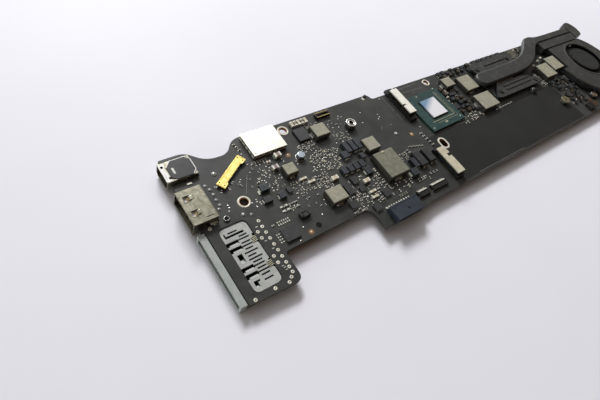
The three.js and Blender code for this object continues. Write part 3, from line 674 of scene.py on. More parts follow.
# larger parts first, so that the scattered ones keep clear of them
for x0 in (58.3, 61.2, 64.1, 67.0):
    moulded_block(x0, x0 + 2.5, -1.6, 1.7, 1.5)
for x0 in (66.0, 68.8, 71.5):
    moulded_block(x0, x0 + 2.3, 5.9, 11.2, 1.8)
for x0, x1, y0, y1, height, *options in (
    (69.9, 72.0, 1.6, 4.2, 1.5), (67.1, 70.2, -5.3, -2.3, 1.5, grey_blocks, "x"),
    (84.2, 87.9, -14.0, -10.7, 2.0, grey_blocks, "x"), (88.0, 90.6, -11.2, -6.6, 1.8),
    (26.2, 29.6, 4.7, 7.4, 1.5, grey_blocks, "x"), (25.1, 28.2, 0.4, 2.9, 1.2, dark_parts, "x"),
    (30.9, 33.5, -0.3, 2.2, 1.2, grey_blocks, "x"), (63.0, 66.2, 4.4, 7.6, 1.5),
    *((x0, x0 + 3.4, 26.3, 28.2, 1.5, dark_parts, "x") for x0 in (167.2, 171.4, 175.6, 179.8, 184.0, 188.6)),
    (206.5, 208.6, -2.0, 0.6, 1.4), (218.6, 221.2, -3.4, -0.8, 1.4, dark_parts),
    (216.0, 219.4, -8.4, -5.4, 1.2, dark_parts), (210.2, 213.4, -6.2, -3.6, 1.2, dark_parts),
):
    moulded_block(x0, x1, y0, y1, height, *options)
claim(34.9, -8.8, 4.6, 3.4)
for outline in (
    (55.0, 57.9, -9.4, -4.6), (60.1, 62.6, -10.3, -8.0), (59.4, 62.1, -6.4, -3.2),
    (67.6, 70.6, -16.0, -12.9), (52.2, 55.0, -14.6, -11.8), (59.9, 62.9, -19.4, -16.6),
    (133.0, 136.2, 6.4, 9.4), (209.6, 213.2, -12.4, -8.4), (35.0, 36.7, 0.8, 3.2, 0.7, 3),
):
    flat_chip(*outline)
for x, y, length, width, height, kind in (
    (40.1, 16.3, 2.7, 1.8, 1.5, "brown"), (36.3, 11.9, 2.4, 1.7, 1.5, "brown"),
    (54.1, -0.9, 2.8, 1.6, 1.3, "cream"), (64.9, -7.0, 2.8, 1.6, 1.3, "cream"),
    (35.6, 15.2, 1.5, 0.9, 0.8, "brown"),
):
    passive(x, y, length, width, height, kind=kind)
for i in range(5):
    passive(53.6 + 1.62 * i, 26.7, 2.3, 1.25, 1.15, upright=True, kind="cream" if i % 2 == 0 else "brown")
for x, y, *size in (
    (43.2, 3.9, 3.0, 0.9, 0.6), (45.5, 1.7, 3.0, 0.9, 0.6), (64.5, -11.6, 3.0, 0.9, 0.6),
    (63.9, -13.9, 3.0, 0.9, 0.6), (214.6, 15.2, 1.6, 1.0, 0.9), (219.2, 16.4, 1.6, 1.0, 0.9),
    (208.3, 13.4, 1.6, 1.0, 0.9),
):
    passive(x, y, *size, kind="cream")
# rows round the card reader chip, below the can and beside the tantalum blocks
chip_row((28.2, 26.9), (28.9, 24.0), 3, 0.8, 0.45)
chip_row((30.0, 16.9), (35.4, 16.9), 6, 0.8, 0.45, True)
for y in (-7.1, -8.1):
    for x in (24.95 + 0.84 * i for i in range(6)):
        terminals.block(x, y, 0.36, 0.58, 0.0, 0.14)
        claim(x, y, 0.36, 0.58)
for i in range(12):
    terminals.block(22.3 + 0.85 * (i % 3), -10.9 - 0.98 * (i // 3), 0.42, 0.42, 0.0, 0.12)
passive(23.0, -7.4, 0.8, 0.5, 0.35)
cream_parts.block(78.2, 0.1, 1.4, 0.9, 2.98, 3.2, 0.0, 0.08)
for start, end, count, length, width, upright in (
    ((29.9, -2.9), (35.3, -2.9), 6, 0.8, 0.45, False), ((30.3, -4.7), (35.3, -4.7), 5, 0.8, 0.45, False),
    ((94.4, -1.2), (100.2, -2.9), 5, 1.0, 0.5, False), ((91.8, -2.2), (92.4, -4.6), 3, 0.9, 0.5, False),
    ((104.8, 2.4), (105.8, -4.4), 5, 1.1, 0.6, False), ((93.3, -15.4), (97.0, -15.4), 3, 0.7, 0.6, True),
    ((73.3, -17.9), (76.8, -17.9), 4, 0.7, 0.4, True),
):
    chip_row(start, end, count, length, width, upright)
block_field([(140.6, 28.0), (166.0, 28.2), (166.0, 25.4), (140.6, 24.8)], 13, 123)
chip_row((156.2, -1.6), (168.0, -1.2), 6, 1.1, 0.6)
# dense fields: four corners, number of parts, seed, then what is mixed in and at what sizes
DARK, MIXED = ("dark",), ("dark", "brown")
for ax, ay, bx, by, cx, cy, dx, dy, count, seed, *mix in (
    (53.4, 13.7, 65.5, 10.3, 59.9, 1.8, 48.0, 5.0, 84, 11, ("dark", "dark", "cream"), 0.65, 1.0, 0.45),
    (49.5, 17.5, 57.0, 17.8, 57.0, 13.6, 50.0, 13.6, 22, 12, ("dark", "dark"), 0.7, 1.0, 0.3),
    (27.0, 15.0, 37.0, 15.6, 37.4, 3.4, 27.4, 3.4, 22, 13, DARK, 0.6, 0.95, 0.4),
    (36.7, 4.6, 45.4, 4.6, 45.4, -2.2, 36.7, -2.2, 30, 14, ("dark", "cream", "brown"), 0.55, 0.9, 0.4),
    (45.0, 3.0, 53.0, 3.4, 53.0, -3.6, 47.0, -3.6, 26, 15, MIXED, 0.6, 1.0, 0.2),
    (132.6, 20.0, 143.2, 17.6, 145.0, 2.8, 133.4, 2.8, 26, 116),
    (131.8, 19.6, 143.2, 17.2, 144.8, 2.8, 133.2, 2.8, 12, 16, ("dark", "cream"), 0.9, 1.4, 0.3),
    (68.0, 24.5, 76.5, 24.5, 76.5, 20.5, 66.5, 14.0, 14, 17, DARK, 0.6, 0.9, 0.4),
    (53.4, -4.2, 72.8, -4.2, 72.8, -16.4, 52.4, -16.4, 60, 18, ("dark", "brown", "dark"), 0.7, 1.3, 0.15),
    (37.4, -3.0, 45.2, -3.0, 45.2, -9.4, 37.4, -9.4, 8, 19, DARK, 0.6, 0.8, 0.3),
    (208.4, 0.6, 223.0, 0.6, 222.4, -18.6, 208.0, -16.0, 30, 120),
    (208.4, 0.6, 226.0, 1.2, 222.4, -18.6, 208.0, -16.0, 10, 20, MIXED, 0.9, 1.4, 0.1),
    (84.5, -2.0, 91.4, -3.0, 91.4, -17.0, 84.5, -17.0, 18, 21, DARK, 0.8, 1.3, 0.1),
    (65.2, 16.4, 74.0, 16.2, 74.0, 12.0, 65.6, 12.0, 14, 22, DARK, 0.7, 1.0, 0.2),
    (140.6, 28.2, 166.0, 28.4, 166.0, 25.4, 140.6, 24.6, 7, 23, ("dark", "cream"), 0.9, 1.3, 0.1),
    (58.0, 24.8, 64.6, 24.8, 64.6, 22.9, 58.6, 22.9, 10, 24, DARK, 0.6, 0.9, 0.2),
    (131.4, 2.6, 146.2, 2.6, 146.2, -1.9, 131.4, -1.9, 16, 25, MIXED, 0.8, 1.2, 0.2),
    (194.0, 9.0, 204.6, 9.0, 204.6, 0.4, 199.6, 0.4, 14, 26, DARK, 0.8, 1.3, 0.1),
    (73.0, -4.0, 73.0, -16.0, 83.0, -16.0, 83.0, -12.2, 10, 27, MIXED, 0.8, 1.2, 0.1),
    (17.6, 13.5, 27.0, 12.5, 27.0, 8.0, 22.2, 8.4, 8, 28, DARK, 0.6, 0.9, 0.5),
):
    quad = ((ax, ay), (bx, by), (cx, cy), (dx, dy))
    (scatter if mix else block_field)(quad, count, seed, *mix)

# ---- solder points, pads and rings
pads = Batch("pads", "bright_tin", SOLDER)
copper_marks = Batch("copper_marks", "copper")
halo = Batch("fiducial_halos", "copper", HALO)
rings = Batch("hole_rings", "bright_tin", TINNED)
faint = Batch("printed_lines", "white_plastic", FAINT)
test_points = Batch("test_points", "bright_tin", GREY_TIN)
# near-black marks: painted shade in holes, slots, dents and screw recesses, and the dark core of one coil
dark_marks = Batch("dark_marks", "black_plastic", BLACK_AND_PAINTED_SHADE)

for x, y, r in ((15.8, 18.4, 1.0), (93.9, 6.7, 1.0), (19.0, -0.7, 0.65), (16.6, 0.4, 0.8)):
    test_points.dome(x, y, 0.0, r, 0.3, 20, 4)
    pads.dome(x, y, 0.1, r * 0.5, 0.28, 14, 3)
for x, y in ((11.5, 13.3), (11.7, 11.1), (11.5, 8.9), (11.6, 6.7), (10.6, 5.4), (10.8, 15.2)):
    test_points.dome(x, y, 0.0, 0.7, 0.22, 16, 3)
for x, y in (
    (13.5, 13.5), (14.9, 11.5), (14.4, 10.7), (17.4, 11.4), (17.6, 10.7), (22.8, 12.7), (13.1, 3.4),
    (21.5, 3.0), (23.4, 3.5), (23.3, 2.7), (24.1, 2.1), (24.1, 1.3), (22.3, 1.0), (28.6, 26.9),
    (28.6, 25.9), (28.7, 25.0), (28.5, 23.9), (28.7, 22.1), (28.3, 17.3), (29.5, 16.6), (31.1, 16.4),
    (31.0, 15.7), (32.3, 15.5), (34.3, 16.2), (34.3, 15.6), (34.7, 13.0), (32.0, 12.8), (32.4, 11.9),
    (32.5, 11.3), (34.0, 11.9), (31.3, 10.9), (31.5, 10.1), (30.7, 11.3), (32.5, 9.4), (29.3, 10.4),
    (28.5, 10.5), (28.2, 9.3), (29.3, 9.3), (30.2, 8.9), (30.3, 8.1), (30.3, 6.2), (31.1, 5.3),
    (31.0, 4.1), (33.4, 6.9), (33.5, 6.3), (33.5, 5.3), (41.1, 14.6), (41.2, 13.4), (45.5, 11.6),
    (45.4, 10.3), (36.5, 8.9), (36.6, 7.6), (34.3, -2.9), (34.0, -4.0), (32.6, -3.6), (35.2, -4.3),
    (33.9, -5.0), (32.7, -5.4), (100.3, 25.3), (86.0, 22.0), (83.4, 17.0), (91.8, 16.2), (93.1, 18.4),
    (92.9, 16.9), (107.5, 5.3),
):
    terminals.dome(x, y, 0.0, 0.3, 0.2, 10, 3)
for x, y in ((13.8, 5.5), (13.8, 4.5), (32.0, -12.4), (28.4, -16.2), (41.0, -11.3)):
    pads.dome(x, y, 0.0, 0.4, 0.2, 12, 3)
for start, end in (((25.7, 6.1), (25.6, 4.6)), ((29.0, -2.7), (30.1, -2.7)), ((30.8, -2.7), (31.9, -2.7)),
                   ((28.9, -4.35), (30.1, -4.35)), ((30.8, -4.35), (32.0, -4.35)), ((5.6, 1.7), (7.9, 1.7)),
                   ((5.9, 18.1), (7.6, 18.0))):
    terminals.bar(start, end, 0.62, 0.0, 0.3)
# small upright coil beside the port: a tinned loop round a dark core
pads.ring(10.9, 1.3, 0.75, 1.0, 0.0, 0.5, 20, crown=0.1)
dark_marks.disc(10.9, 1.3, 0.72, 0.0, 0.45, 20)
# dark cluster on the lower edge
for x, y, sx, sy in (
    (34.9, -9.0, 2.0, 1.6), (33.4, -8.6, 0.7, 2.0), (36.5, -8.8, 0.7, 2.0), (34.8, -7.6, 2.2, 0.6),
):
    dark_parts.block(x, y, sx, sy, 0.05, 1.4, 0.1, inset=0.08)
HOLE_COLUMNS = (
    (19.8, (-3.8, -6.1, -8.4, -10.8, -13.2, -15.5, -17.9, -20.2, -21.9, -23.8)),
    (17.45, (-7.2, -9.6, -16.7, -19.1)),
)
PLATED_HOLES = [(x, y) for x, ys in HOLE_COLUMNS for y in ys]
PLATED_HOLES += [(18.5, -25.1), (17.0, -26.2), (12.1, -25.8), (5.0, -26.0), (4.6, 0.4)]
for x, y in PLATED_HOLES:
    rings.ring(x, y, 0.17, 0.64, 0.0, 0.05, 16, crown=0.12)
    # painted shade inside the hole
    dark_marks.disc(x, y, 0.18, 0.0, 0.02, 10)
for x, y in ((18.0, -5.4), (18.7, -14.3), (18.0, -11.0), (18.1, -20.7), (18.4, -21.4), (18.6, -22.3)):
    pads.block(x, y, 0.85, 0.32, 0.0, 0.12)
for (x, y), inner, outer in zip(SCREW_HOLES, (1.62, 1.55, 1.32), (2.3, 2.25, 1.95)):
    rings.ring(x, y, inner, outer, 0.0, 0.06, 40, crown=0.06)
    copper_marks.ring(x, y, inner - 0.12, inner + 0.08, -1.0, 0.05, 40)
for x, y in ((33.5, -15.0), (44.4, 15.3), (100.6, 3.8)):
    halo.disc(x, y, 1.05, 0.0, 0.012, 24)
    rings.dome(x, y, 0.0, 0.42, 0.16, 14, 3)
# painted shade of a hole
dark_marks.disc(37.4, -14.0, 1.05, 0.0, 0.02, 24)


def slot_outline(x0, x1, y0, y1, grow):
    """Outline of the slotted hole, grown all round."""
    x, half = (x0 + x1) / 2, (x1 - x0) / 2
    ends = ((y1 - half, 0.0), (y0 + half, math.pi))
    turns = [(y, start + math.pi * i / 12) for y, start in ends for i in range(13)]
    return [(x + (half + grow) * math.cos(t), y + (half + grow) * math.sin(t)) for y, t in turns]


def slot_rim(batch, inner, outer, z0, z1):
    inside, outside = slot_outline(*SLOT, inner), slot_outline(*SLOT, outer)
    batch.tube([(inside, z0), (outside, z0), (outside, z1), (inside, z1)])


SLOT = (110.0, 112.9, -8.0, -3.6)
slot_rim(rings, 0.05, 0.8, 0.0, 0.1)
slot_rim(copper_marks, -0.08, 0.04, -1.0, 0.06)

# pale printed and tinned lines
TRACES = (
    ((101.8, 25.6), (102.3, 17.4)), ((102.2, 15.3), (102.2, 11.2)), ((90.4, 12.4), (89.0, 10.7)),
    ((113.9, 26.9), (125.8, 27.2)), ((113.7, 24.3), (126.6, 24.0)), ((125.2, -0.6), (134.9, -0.9)),
    ((21.6, 6.9), (25.9, 13.6)), ((116.0, -24.2), (150.0, -24.2)),
)
for start, end in TRACES:
    faint.bar(start, end, 0.16, 0.0, 0.02)
for x, y in ((114.8, 18.7), (119.8, 22.8), (136.8, 23.0), (105.2, 2.2), (94.8, 11.6)):
    faint.bar((x, y), (x + 0.9, y), 0.3, 0.0, 0.03)

# ---- ports
port_steel = Batch("port_details", "steel", bevel=0.04, segments=2)
SPRING_ROWS = (5.9, 11.6)


def bent_strip(batch, path, y0, y1, thick):
    """Spring strip: path is (x, z) points, given width from y0 to y1."""
    upper, lower = [], []
    for i, (x, z) in enumerate(path):
        ahead = path[min(i + 1, len(path) - 1)]
        behind = path[max(i - 1, 0)]
        along = Vector((ahead[0] - behind[0], ahead[1] - behind[1])).normalized()
        upper.append((x - along.y * thick / 2, z + along.x * thick / 2))
        lower.append((x + along.y * thick / 2, z - along.x * thick / 2))
    outline = upper + lower[::-1]
    batch.loft([(x, y0, z) for x, z in outline], [(x, y1, z) for x, z in outline])


usb_springs = Batch("usb_springs", "gold", SPRING_GOLD, bevel=0.04, segments=2)
for y in SPRING_ROWS:
    path = [(3.75, 2.68), (3.2, 2.5), (2.6, 2.15), (2.05, 1.9), (1.6, 1.95), (1.35, 2.2)]
    bent_strip(usb_springs, path, y - 0.55, y + 0.55, 0.2)
    # bright pressed root of the spring and rolled rim of the cut-out
    port_steel.block(3.75, y, 1.5, 1.7, 2.72, 2.96, inset=0.2)
    for side in (-1.18, 1.18):
        port_steel.bar((1.2, y + side), (3.2, y + side), 0.2, 2.76, 2.9)
    port_steel.bar((1.2, y - 1.18), (1.2, y + 1.18), 0.2, 2.76, 2.9)
port_steel.bar((0.1, 2.2), (0.1, 14.8), 0.3, 2.78, 2.95)
port_steel.bar((8.25, 2.5), (8.25, 14.5), 0.25, 2.7, 2.86)
# painted shade of the short slot in the shell top
dark_marks.bar((4.9, 3.3), (7.2, 3.3), 0.3, 2.79, 2.815)
for y in (2.0, 15.0):
    # solder tabs of the shell
    side = -1 if y < 5 else 1
    port_steel.block(3.0, y + side * 0.25, 2.4, 0.3, -0.6, 0.5)
    pads.dome(6.8, y + side * 0.75, 0.0, 0.5, 0.25, 12, 3)
usb_pins = Batch("usb_pins", "gold")
for i in range(4):
    usb_pins.block(3.6, 5.0 + 2.33 * i, 4.2, 0.9, -0.62, -0.5)

dp_rim = Batch("display_port_rim", "bright_tin", bevel=0.03)
pad_edge = [(9.35, 20.15), (10.85, 21.75), (10.85, 26.15), (9.3, 27.75), (4.3, 27.75), (2.2, 25.6)]
dp_rim.ribbon(pad_edge, 0.3, 1.5, 1.8)
dp_rim.ribbon([(0.25, 20.4), (3.4, 20.3), (7.6, 20.15)], 0.25, 1.48, 1.58)
bare_front = [(0.15, 20.5), (1.9, 20.5), (1.7, 21.6), (2.0, 22.6), (1.5, 25.4), (2.4, 27.6), (0.15, 27.6)]
dp_rim.prism(bare_front, 1.47, 1.53)
port_white = Batch("port_key", "white_plastic", bevel=0.05)
port_white.block(3.9, 23.6, 0.75, 2.5, 1.74, 1.82)
# near-black patches of painted shade at the front of the port
dark_marks.block(1.1, 26.4, 0.8, 0.9, 1.5, 1.53)
dark_marks.block(1.9, 21.6, 0.9, 0.8, 1.5, 1.53)
port_steel.block(6.0, 28.12, 3.0, 0.22, -0.6, 0.6)
port_steel.block(6.0, 19.88, 3.0, 0.22, -0.6, 0.6)

# card slot: a near-black sheet of painted shade in the card bay, and contact springs under the window
bay_shade = Batch("card_bay_liner", "black_plastic", BLACK_AND_PAINTED_SHADE, bevel=0.05)
bay_shade.block(9.8, -13.1, 14.2, 25.0, -2.2, -2.05)
ramps = Batch("reader_ramps", "reader_metal", bevel=0.03)


def reader_ramp(x0, x1, y0, y1, z0, z1, narrowing=0.0):
    """Bent flap of the reader's cover, down from z0 at y0 to z1 at y1."""
    far = x1 - narrowing
    ramps.loft([(x0, y0, z0), (x1, y0, z0), (x1, y0, z0 - 0.15), (x0, y0, z0 - 0.15)],
               [(x0, y1, z1), (far, y1, z1), (far, y1, z1 - 0.15), (x0, y1, z1 - 0.15)])


reader_ramp(7.5, 9.1, -14.25, -12.6, -0.6, -1.7)
reader_ramp(7.5, 8.75, -22.95, -21.8, -0.6, -1.7)
for y0 in (-7.75, -10.1, -17.15, -19.65):
    reader_ramp(7.3, 10.4, y0, y0 + 0.65, -0.45, -0.95, 0.2)
heads = Batch("spring_heads", "reader_metal", SPRING_HEAD, bevel=0.05)
for y0 in (-9.6, -19.0):
    # painted shade under the spring heads
    dark_marks.block(15.25, y0 + 1.05, 1.7, 2.2, -0.36, -0.32)
    for i in range(4):
        heads.block(15.3, y0 + 0.25 + 0.55 * i, 1.9, 0.3, -0.32, -0.12, 0.12)
springs = Batch("card_contacts", "gold", bevel=0.03)
for i in range(9):
    y = -13.1 + (i - 4) * 2.5
    path = [(17.0, -1.45), (15.0, -1.5), (13.4, -1.75), (12.4, -2.1), (11.8, -2.0), (11.2, -1.7)]
    bent_strip(springs, path, y - 0.35, y + 0.35, 0.12)

# ---- connectors and cans
can_low, can_high = extent("shield_can")
can_parts = Batch("can_fence", "bright_tin", bevel=0.03)
width, depth = can_high.x - can_low.x, can_high.y - can_low.y
can_x, can_y = middle(can_low, can_high)
for side in (-1, 1):
    for i in range(5):
        k = (i - 2) / 5
        can_parts.block(can_x + k * width, can_y + side * (depth / 2 + 0.07), width / 7, 0.14, 0.0, 0.75)
        can_parts.block(can_x + side * (width / 2 + 0.07), can_y + k * depth, 0.14, depth / 7, 0.0, 0.75)
# near-black dot of painted shade on the can top
dark_marks.disc(can_low.x + 1.1, can_low.y + 1.1, 0.22, 2.0, 2.012, 12)

LINK = (21.2, 16.45)
LINK_TURN = math.radians(32.2)


def on_link(u, v):
    """Point on the dog-bone connector: u along it, v across it."""
    return turned_point(LINK, LINK_TURN, u, v)


link_gold = Batch("link_ridges", "gold", LINK_GOLD, bevel=0.03)
for side in (-1, 1):
    link_gold.bar(on_link(-4.9, 0.2 + side * 1.05), on_link(4.9, 0.2 + side * 1.05), 0.2, 1.14, 1.24)
    for v in (-1.0, 1.0):
        x, y = on_link(side * 6.4, v)
        # painted shade in the dents of the connector heads
        dark_marks.disc(x, y, 0.24, 1.15, 1.165, 12)
        pads.dome(*on_link(side * 7.9, v), 0.0, 0.35, 0.22, 10, 3)
    link_gold.bar(on_link(side * 7.25, -1.4), on_link(side * 7.25, 1.35), 0.22, 1.14, 1.24)

board_socket = Batch("socket_contacts", "gold", DIM_GOLD, bevel=0.02)
for i in range(12):
    x = 66.1 + i * 0.47
    board_socket.block(x, 26.05, 0.26, 0.7, 0.5, 1.0)
    board_socket.block(x, 27.45, 0.26, 0.7, 0.5, 1.0)
    pads.bar((x, 25.1), (x, 25.5), 0.26, 0.0, 0.08)
board_socket.bar((65.4, 27.75), (72.0, 27.75), 0.2, 1.2, 1.27)
board_socket.bar((65.4, 25.75), (72.0, 25.75), 0.2, 1.2, 1.27)

card_pins = Batch("card_socket_pins", "gold", bevel=0.02)
for node, inner_x, outer_x in (("wireless_card_connector", 105.6, 104.3), ("ssd_connector", 105.8, 101.8)):
    low, high = extent(node)
    count = int((high.y - low.y - 5.2) / 0.5)
    for i in range(count):
        y = middle(low, high)[1] + (i - (count - 1) / 2) * 0.5
        if abs(y - (high.y - 5.6)) < 0.9:
            continue
        card_pins.bar((inner_x - 0.5, y), (inner_x + 0.9, y), 0.24, 1.45, 1.6)
        pads.bar((outer_x - 0.25, y), (outer_x + 0.25, y), 0.26, 0.0, 0.14)

battery_low, battery_high = extent("battery_connector")
battery_pins = Batch("battery_pins", "bright_tin", TERMINAL, bevel=0.03)
for i in range(10):
    x = battery_low.x + 0.9 + i * 1.28
    path = [(battery_high.y + y, z) for y, z in ((1.0, 0.08), (0.6, 0.1), (0.35, 0.6), (-0.2, 0.75))]
    outline = [(y, z + 0.08) for y, z in path] + [(y, z - 0.08) for y, z in path[::-1]]
    battery_pins.loft([(x - 0.28, y, z) for y, z in outline], [(x + 0.28, y, z) for y, z in outline])
    pads.block(x, battery_high.y + 0.8, 0.7, 0.9, 0.0, 0.05)
# near-black dot of painted shade on the battery connector
dark_marks.disc(71.0, -24.0, 0.45, 2.5, 2.512, 16)
battery_ribs = Batch("battery_ribs", "blue_plastic", bevel=0.05)
battery_ribs.bar((64.3, -21.0), (77.0, -21.0), 0.3, 2.48, 2.6)
battery_ribs.bar((64.3, -26.3), (77.0, -26.3), 0.3, 2.48, 2.6)

flex_pins = Batch("flex_pins", "bright_tin", TERMINAL, bevel=0.02)
for node in ("flex_connector_1", "flex_connector_2"):
    low, high = extent(node)
    count = int((high.x - low.x - 1.0) / 0.5)
    for i in range(count):
        x = middle(low, high)[0] + (i - (count - 1) / 2) * 0.5
        flex_pins.block(x, high.y + 0.25, 0.26, 0.5, 0.0, 0.3, inset=0.04)
        flex_pins.block(x, high.y - 0.12, 0.2, 0.24, 0.88, 0.93)
    flex_pins.bar((low.x + 0.5, high.y - 0.35), (high.x - 0.5, high.y - 0.35), 0.42, 0.88, 0.95)
    for x in (low.x + 0.3, high.x - 0.3):
        flex_pins.block(x, low.y + 0.5, 0.7, 0.9, 0.0, 0.2)

# ---- chips
CHIPSET = (121.8, 10.4)
CHIPSET_TURN = 0.03


def on_chipset(u, v):
    return turned_point(CHIPSET, CHIPSET_TURN, u, v)


guard = Batch("carrier_guard", "gold", BRASS, bevel=0.02)
guard.ribbon([on_chipset(7.2, 8.3), on_chipset(7.3, -5.9), on_chipset(-7.6, -5.8)], 0.34, 1.0, 1.05)
guard.ribbon([on_chipset(8.5, 8.0), on_chipset(8.5, -7.1), on_chipset(-5.0, -7.1)], 0.16, 1.0, 1.03)
guard.block(*on_chipset(-0.4, -8.0), 1.6, 0.8, 1.0, 1.04, CHIPSET_TURN)
for u, v in ((9.3, -8.2), (-9.6, -8.5), (8.9, 10.0), (-0.4, -8.0), (-3.6, 9.0)):
    rings.dome(*on_chipset(u, v), 1.0, 0.36, 0.1, 12, 2)
# black underfill round the die, in the near-black finish that also paints shade along the die's edge
underfill = Batch("die_underfill", "black_plastic", BLACK_AND_PAINTED_SHADE)
x, y = on_chipset(-0.6, 0.8)
underfill.block(x, y, 10.6, 10.8, 1.0, 1.12, CHIPSET_TURN, inset=0.5)

balls = Batch("solder_balls", "bright_tin", SOLDER)
BALL_STEP = 0.9
for node in ("chipset_substrate", "processor_substrate"):
    low, high = extent(node)
    for i in range(int((high.x - low.x) / BALL_STEP) - 1):
        for y in (low.y + 0.55, high.y - 0.55):
            balls.dome(low.x + 1.0 + i * BALL_STEP, y, 0.0, 0.22, 0.2, 6, 2)

# ---- coils and tantalum blocks
coil_leads = Batch("coil_leads", "bright_tin", bevel=0.04)
LEADS_ALONG_Y = ("inductor_2", "inductor_3", "inductor_5", "inductor_7", "inductor_9", "inductor_10")
for node in frame["nodes"]:
    if not node.startswith(("inductor_", "tantalum_")):
        continue
    low, high = extent(node)
    x, y = middle(low, high)
    axis = "y" if node in LEADS_ALONG_Y or node.startswith("tantalum") else "x"
    length, breadth = aligned(axis, high.x - low.x, high.y - low.y)
    reach, span = length / 2, breadth * 0.42
    for side in (-1, 1):
        dx, dy = aligned(axis, side * (reach + 0.04), 0.0)
        coil_leads.block(x + dx, y + dy, *aligned(axis, 0.22, span), 0.02, 1.1)
        dx, dy = aligned(axis, side * (reach + 0.12), 0.0)
        outward = side * math.pi / 2 if axis == "y" else (1 - side) * math.pi / 2
        fillets.wedge(x + dx, y + dy, 0.45, span, 0.0, 0.4, outward)

# ---- posts
post_parts = Batch("post_details", "bright_tin", bevel=0.03)
post_parts.ring(*SPACER, 0.95, 1.3, 2.18, 2.26, 32, crown=0.06)
post_parts.ring(*SPACER, 1.62, 2.18, 2.18, 2.28, 32, crown=0.04)
pads.ring(48.1, 12.5, 1.6, 1.9, 0.0, 0.08, 28, crown=0.05)
# painted shade in the holes of the two posts
dark_marks.disc(*SPACER, 0.9, 0.9, 1.0, 20)
dark_marks.disc(*CARD_POST, 0.55, 2.0, 2.015, 16)

# small clip in a notch of the far edge
rings.disc(92.9, 28.2, 0.85, 0.0, 0.08, 20)
dark_parts.block(94.0, 28.9, 1.7, 1.0, 0.0, 0.8, 0.25, inset=0.15)

# ---- heat sink
ridges = Batch("heat_sink_ridges", "black_metal", bevel=0.12, segments=2)
for y in (5.1, 7.5):
    ridges.bar((170.0, y), (192.5, y + 0.2), 0.9, 2.38, 2.75)
ridges.bar((172.0, 22.4), (189.0, 22.8), 1.0, 2.38, 2.8)
ridges.bar((195.2, 3.4), (199.6, 3.3), 2.2, 1.45, 2.6)
ridges.dome(189.4, -0.2, 0.0, 2.0, 2.0, 20, 4)
ridges.bar((224.0, 19.0), (258.6, 19.0), 0.6, 1.9, 2.15)
ridges.bar((224.0, 23.2), (258.6, 23.2), 0.5, 1.9, 2.25)
screws = Batch("heat_sink_screws", "black_metal", bevel=0.06, segments=2)
for x, y in ((164.6, 21.8), (191.6, 22.6), (165.6, 5.6), (195.6, 4.6)):
    screws.disc(x, y, 1.35, 2.38, 2.95, 24)
    screws.ring(x, y, 1.5, 1.75, 2.38, 2.55, 24)
    # painted shade in the cross recess of the screw head
    dark_marks.block(x, y, 1.2, 0.28, 2.95, 2.965, 0.5)
    dark_marks.block(x, y, 0.28, 1.2, 2.95, 2.967, 0.5)
rivets = Batch("bracket_rivets", "bright_tin")
rivets.dome(262.6, 24.6, 4.15, 0.5, 0.24, 14, 3)
rivets.dome(265.6, 24.9, 4.15, 0.45, 0.24, 14, 3)

# brass foil with a ringed hole beside the bend of the pipe
foil = Batch("ground_foil", "gold", DIM_FOIL, bevel=0.03)
foil_edge = [(200.4, 22.6), (204.0, 21.0), (207.6, 22.6), (213.4, 26.4), (213.4, 28.3), (200.4, 28.3)]
foil.prism(foil_edge, 0.0, 0.12)
foil.ring(*FOIL_HOLE, 1.2, 1.9, 0.12, 0.4, 24, crown=0.1)
# painted shade in the foil's hole
dark_marks.disc(*FOIL_HOLE, 1.15, 0.12, 0.14, 20)

# ---- blower
lip = Batch("fan_lip", "black_metal", bevel=0.08, segments=2)
lip.ring(*FAN_AXIS, 12.3, 13.7, 3.1, 3.66, 96, crown=0.12)
# rolled rim along the round side of the cover, from the notch to the outlet
rim_section = ((21.9, 3.58), (22.35, 3.58), (22.35, 3.68), (21.9, 3.68))
rim_x, rim_y = COVER_CENTRE
rim = []
for i in range(73):
    turn = math.radians(-177 + 221 * i / 72)
    rim.append([(rim_x + r * math.cos(turn), rim_y + r * math.sin(turn), z) for r, z in rim_section])
lip.loft(*rim)
hub = Batch("hub_details", "black_plastic", body="impeller", bevel=0.05, segments=2)
hub.ring(*FAN_AXIS, 8.1, 8.45, 3.28, 3.36, 72, crown=0.03)
hub.ring(*FAN_AXIS, 0.9, 1.1, 3.28, 3.31, 32)
strap = Batch("fan_board_strap", "polyimide", bevel=0.02)
strap.ribbon([(212.8, -13.4), (217.6, -15.6), (221.4, -17.6), (222.6, -19.4)], 2.4, 0.02, 0.12)

# ---- underside
for seed, x0, x1, y0, y1, count in (
    (41, 30.0, 60.0, -10.0, 12.0, 60), (42, 62.0, 100.0, -16.0, 22.0, 110),
    (43, 112.0, 134.0, 2.0, 18.0, 90), (44, 160.0, 194.0, 2.0, 24.0, 120),
):
    draw = random.Random(seed)
    spots = set()
    while len(spots) < count:
        spots.add((round(draw.uniform(x0, x1) / 1.7) * 1.7, round(draw.uniform(y0, y1) / 1.3) * 1.3))
    for x, y in sorted(spots):
        kind = draw.choice(("dark", "brown", "dark"))
        passive(x, y, draw.uniform(0.8, 1.1), 0.5, 0.42, draw.random() < 0.3, kind, below=True)
under_pads = Batch("underside_pads", "bright_tin", SOLDER)
for (x, y), inner, outer in zip(SCREW_HOLES, (1.65, 1.55, 1.35), (2.9, 2.6, 2.3)):
    under_pads.ring(x, y, inner, outer, -1.05, -1.0, 36)
for i in range(12):
    under_pads.disc(140.0 + 1.6 * i, -6.0, 0.45, -1.04, -1.0, 14)
    under_pads.disc(140.0 + 1.6 * i, -8.2, 0.45, -1.04, -1.0, 14)

for batch in Batch.begun:
    batch.done()

# ---- table, light and camera
table = bpy.data.meshes.new("table")
build = bmesh.new()
TABLE_REACH = 12.0
bmesh.ops.create_grid(build, x_segments=8, y_segments=8, size=TABLE_REACH)
build.to_mesh(table)
build.free()
floor = bpy.data.objects.new("table", table)
bpy.context.scene.collection.objects.link(floor)
table.materials.append(table_top().material)

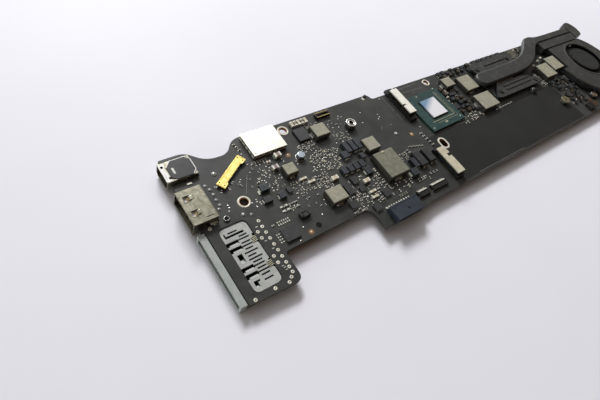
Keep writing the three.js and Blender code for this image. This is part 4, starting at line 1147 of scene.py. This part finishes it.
# bright window side beyond the far edge, dim brown room behind the camera
world = bpy.data.worlds.new("room")
world.use_nodes = True
sky = world.node_tree
toward = sky.nodes.new("ShaderNodeVectorMath")
toward.operation = "DOT_PRODUCT"
toward.inputs[1].default_value = Vector((0.0, 0.90, 0.35)).normalized()
sky.links.new(sky.nodes.new("ShaderNodeTexCoord").outputs["Generated"], toward.inputs[0])
shade = sky.nodes.new("ShaderNodeValToRGB")
shade.color_ramp.elements.new(0.3)
for stop, position, colour in zip(
    shade.color_ramp.elements, (0.0, 0.3, 0.9),
    ((0.060, 0.038, 0.024, 1.0), (0.165, 0.122, 0.084, 1.0), (0.80, 0.82, 0.86, 1.0)),
):
    stop.position = position
    stop.color = colour
sky.links.new(toward.outputs["Value"], shade.inputs["Fac"])
sky.links.new(shade.outputs["Color"], sky.nodes["Background"].inputs["Color"])
bpy.context.scene.world = world


def soft_light(name, location, target, size, power, colour):
    lamp = bpy.data.lights.new(name, "AREA")
    lamp.shape = "RECTANGLE"
    lamp.size, lamp.size_y = size
    lamp.energy = power
    lamp.color = colour
    holder = bpy.data.objects.new(name, lamp)
    holder.location = location
    holder.rotation_euler = (Vector(target) - Vector(location)).to_track_quat("-Z", "Y").to_euler()
    bpy.context.scene.collection.objects.link(holder)


soft_light("window", (0.22, 1.16, 0.80), (0.65, 0.35, 0.0), (0.7, 0.26), 25.0, (0.98, 0.985, 1.0))
soft_light("low_fill", (-1.25, -0.30, 0.15), (-0.1, 0.0, 0.0), (0.9, 0.24), 4.2, (0.88, 0.97, 0.94))
soft_light("second_window", (0.69, 0.71, 0.99), (0.0, 0.0, 0.0), (0.5, 0.4), 0.66, (1.0, 0.99, 0.95))

lens = bpy.data.cameras.new("camera")
lens.lens = 26.76
lens.sensor_width = 36.0
lens.clip_start = 0.005
camera = bpy.data.objects.new("camera", lens)
right = Vector((0.7928, -0.5540, 0.2539))
up = Vector((0.3529, 0.7571, 0.5498))
back = Vector((-0.4969, -0.3463, 0.7958))
turned = Matrix((right, up, back)).transposed().to_4x4()
camera.matrix_world = Matrix.Translation((-0.172546, -0.057491, 0.1246)) @ turned
bpy.context.scene.collection.objects.link(camera)
bpy.context.scene.camera = camera
bpy.context.scene.view_settings.view_transform = "Standard"
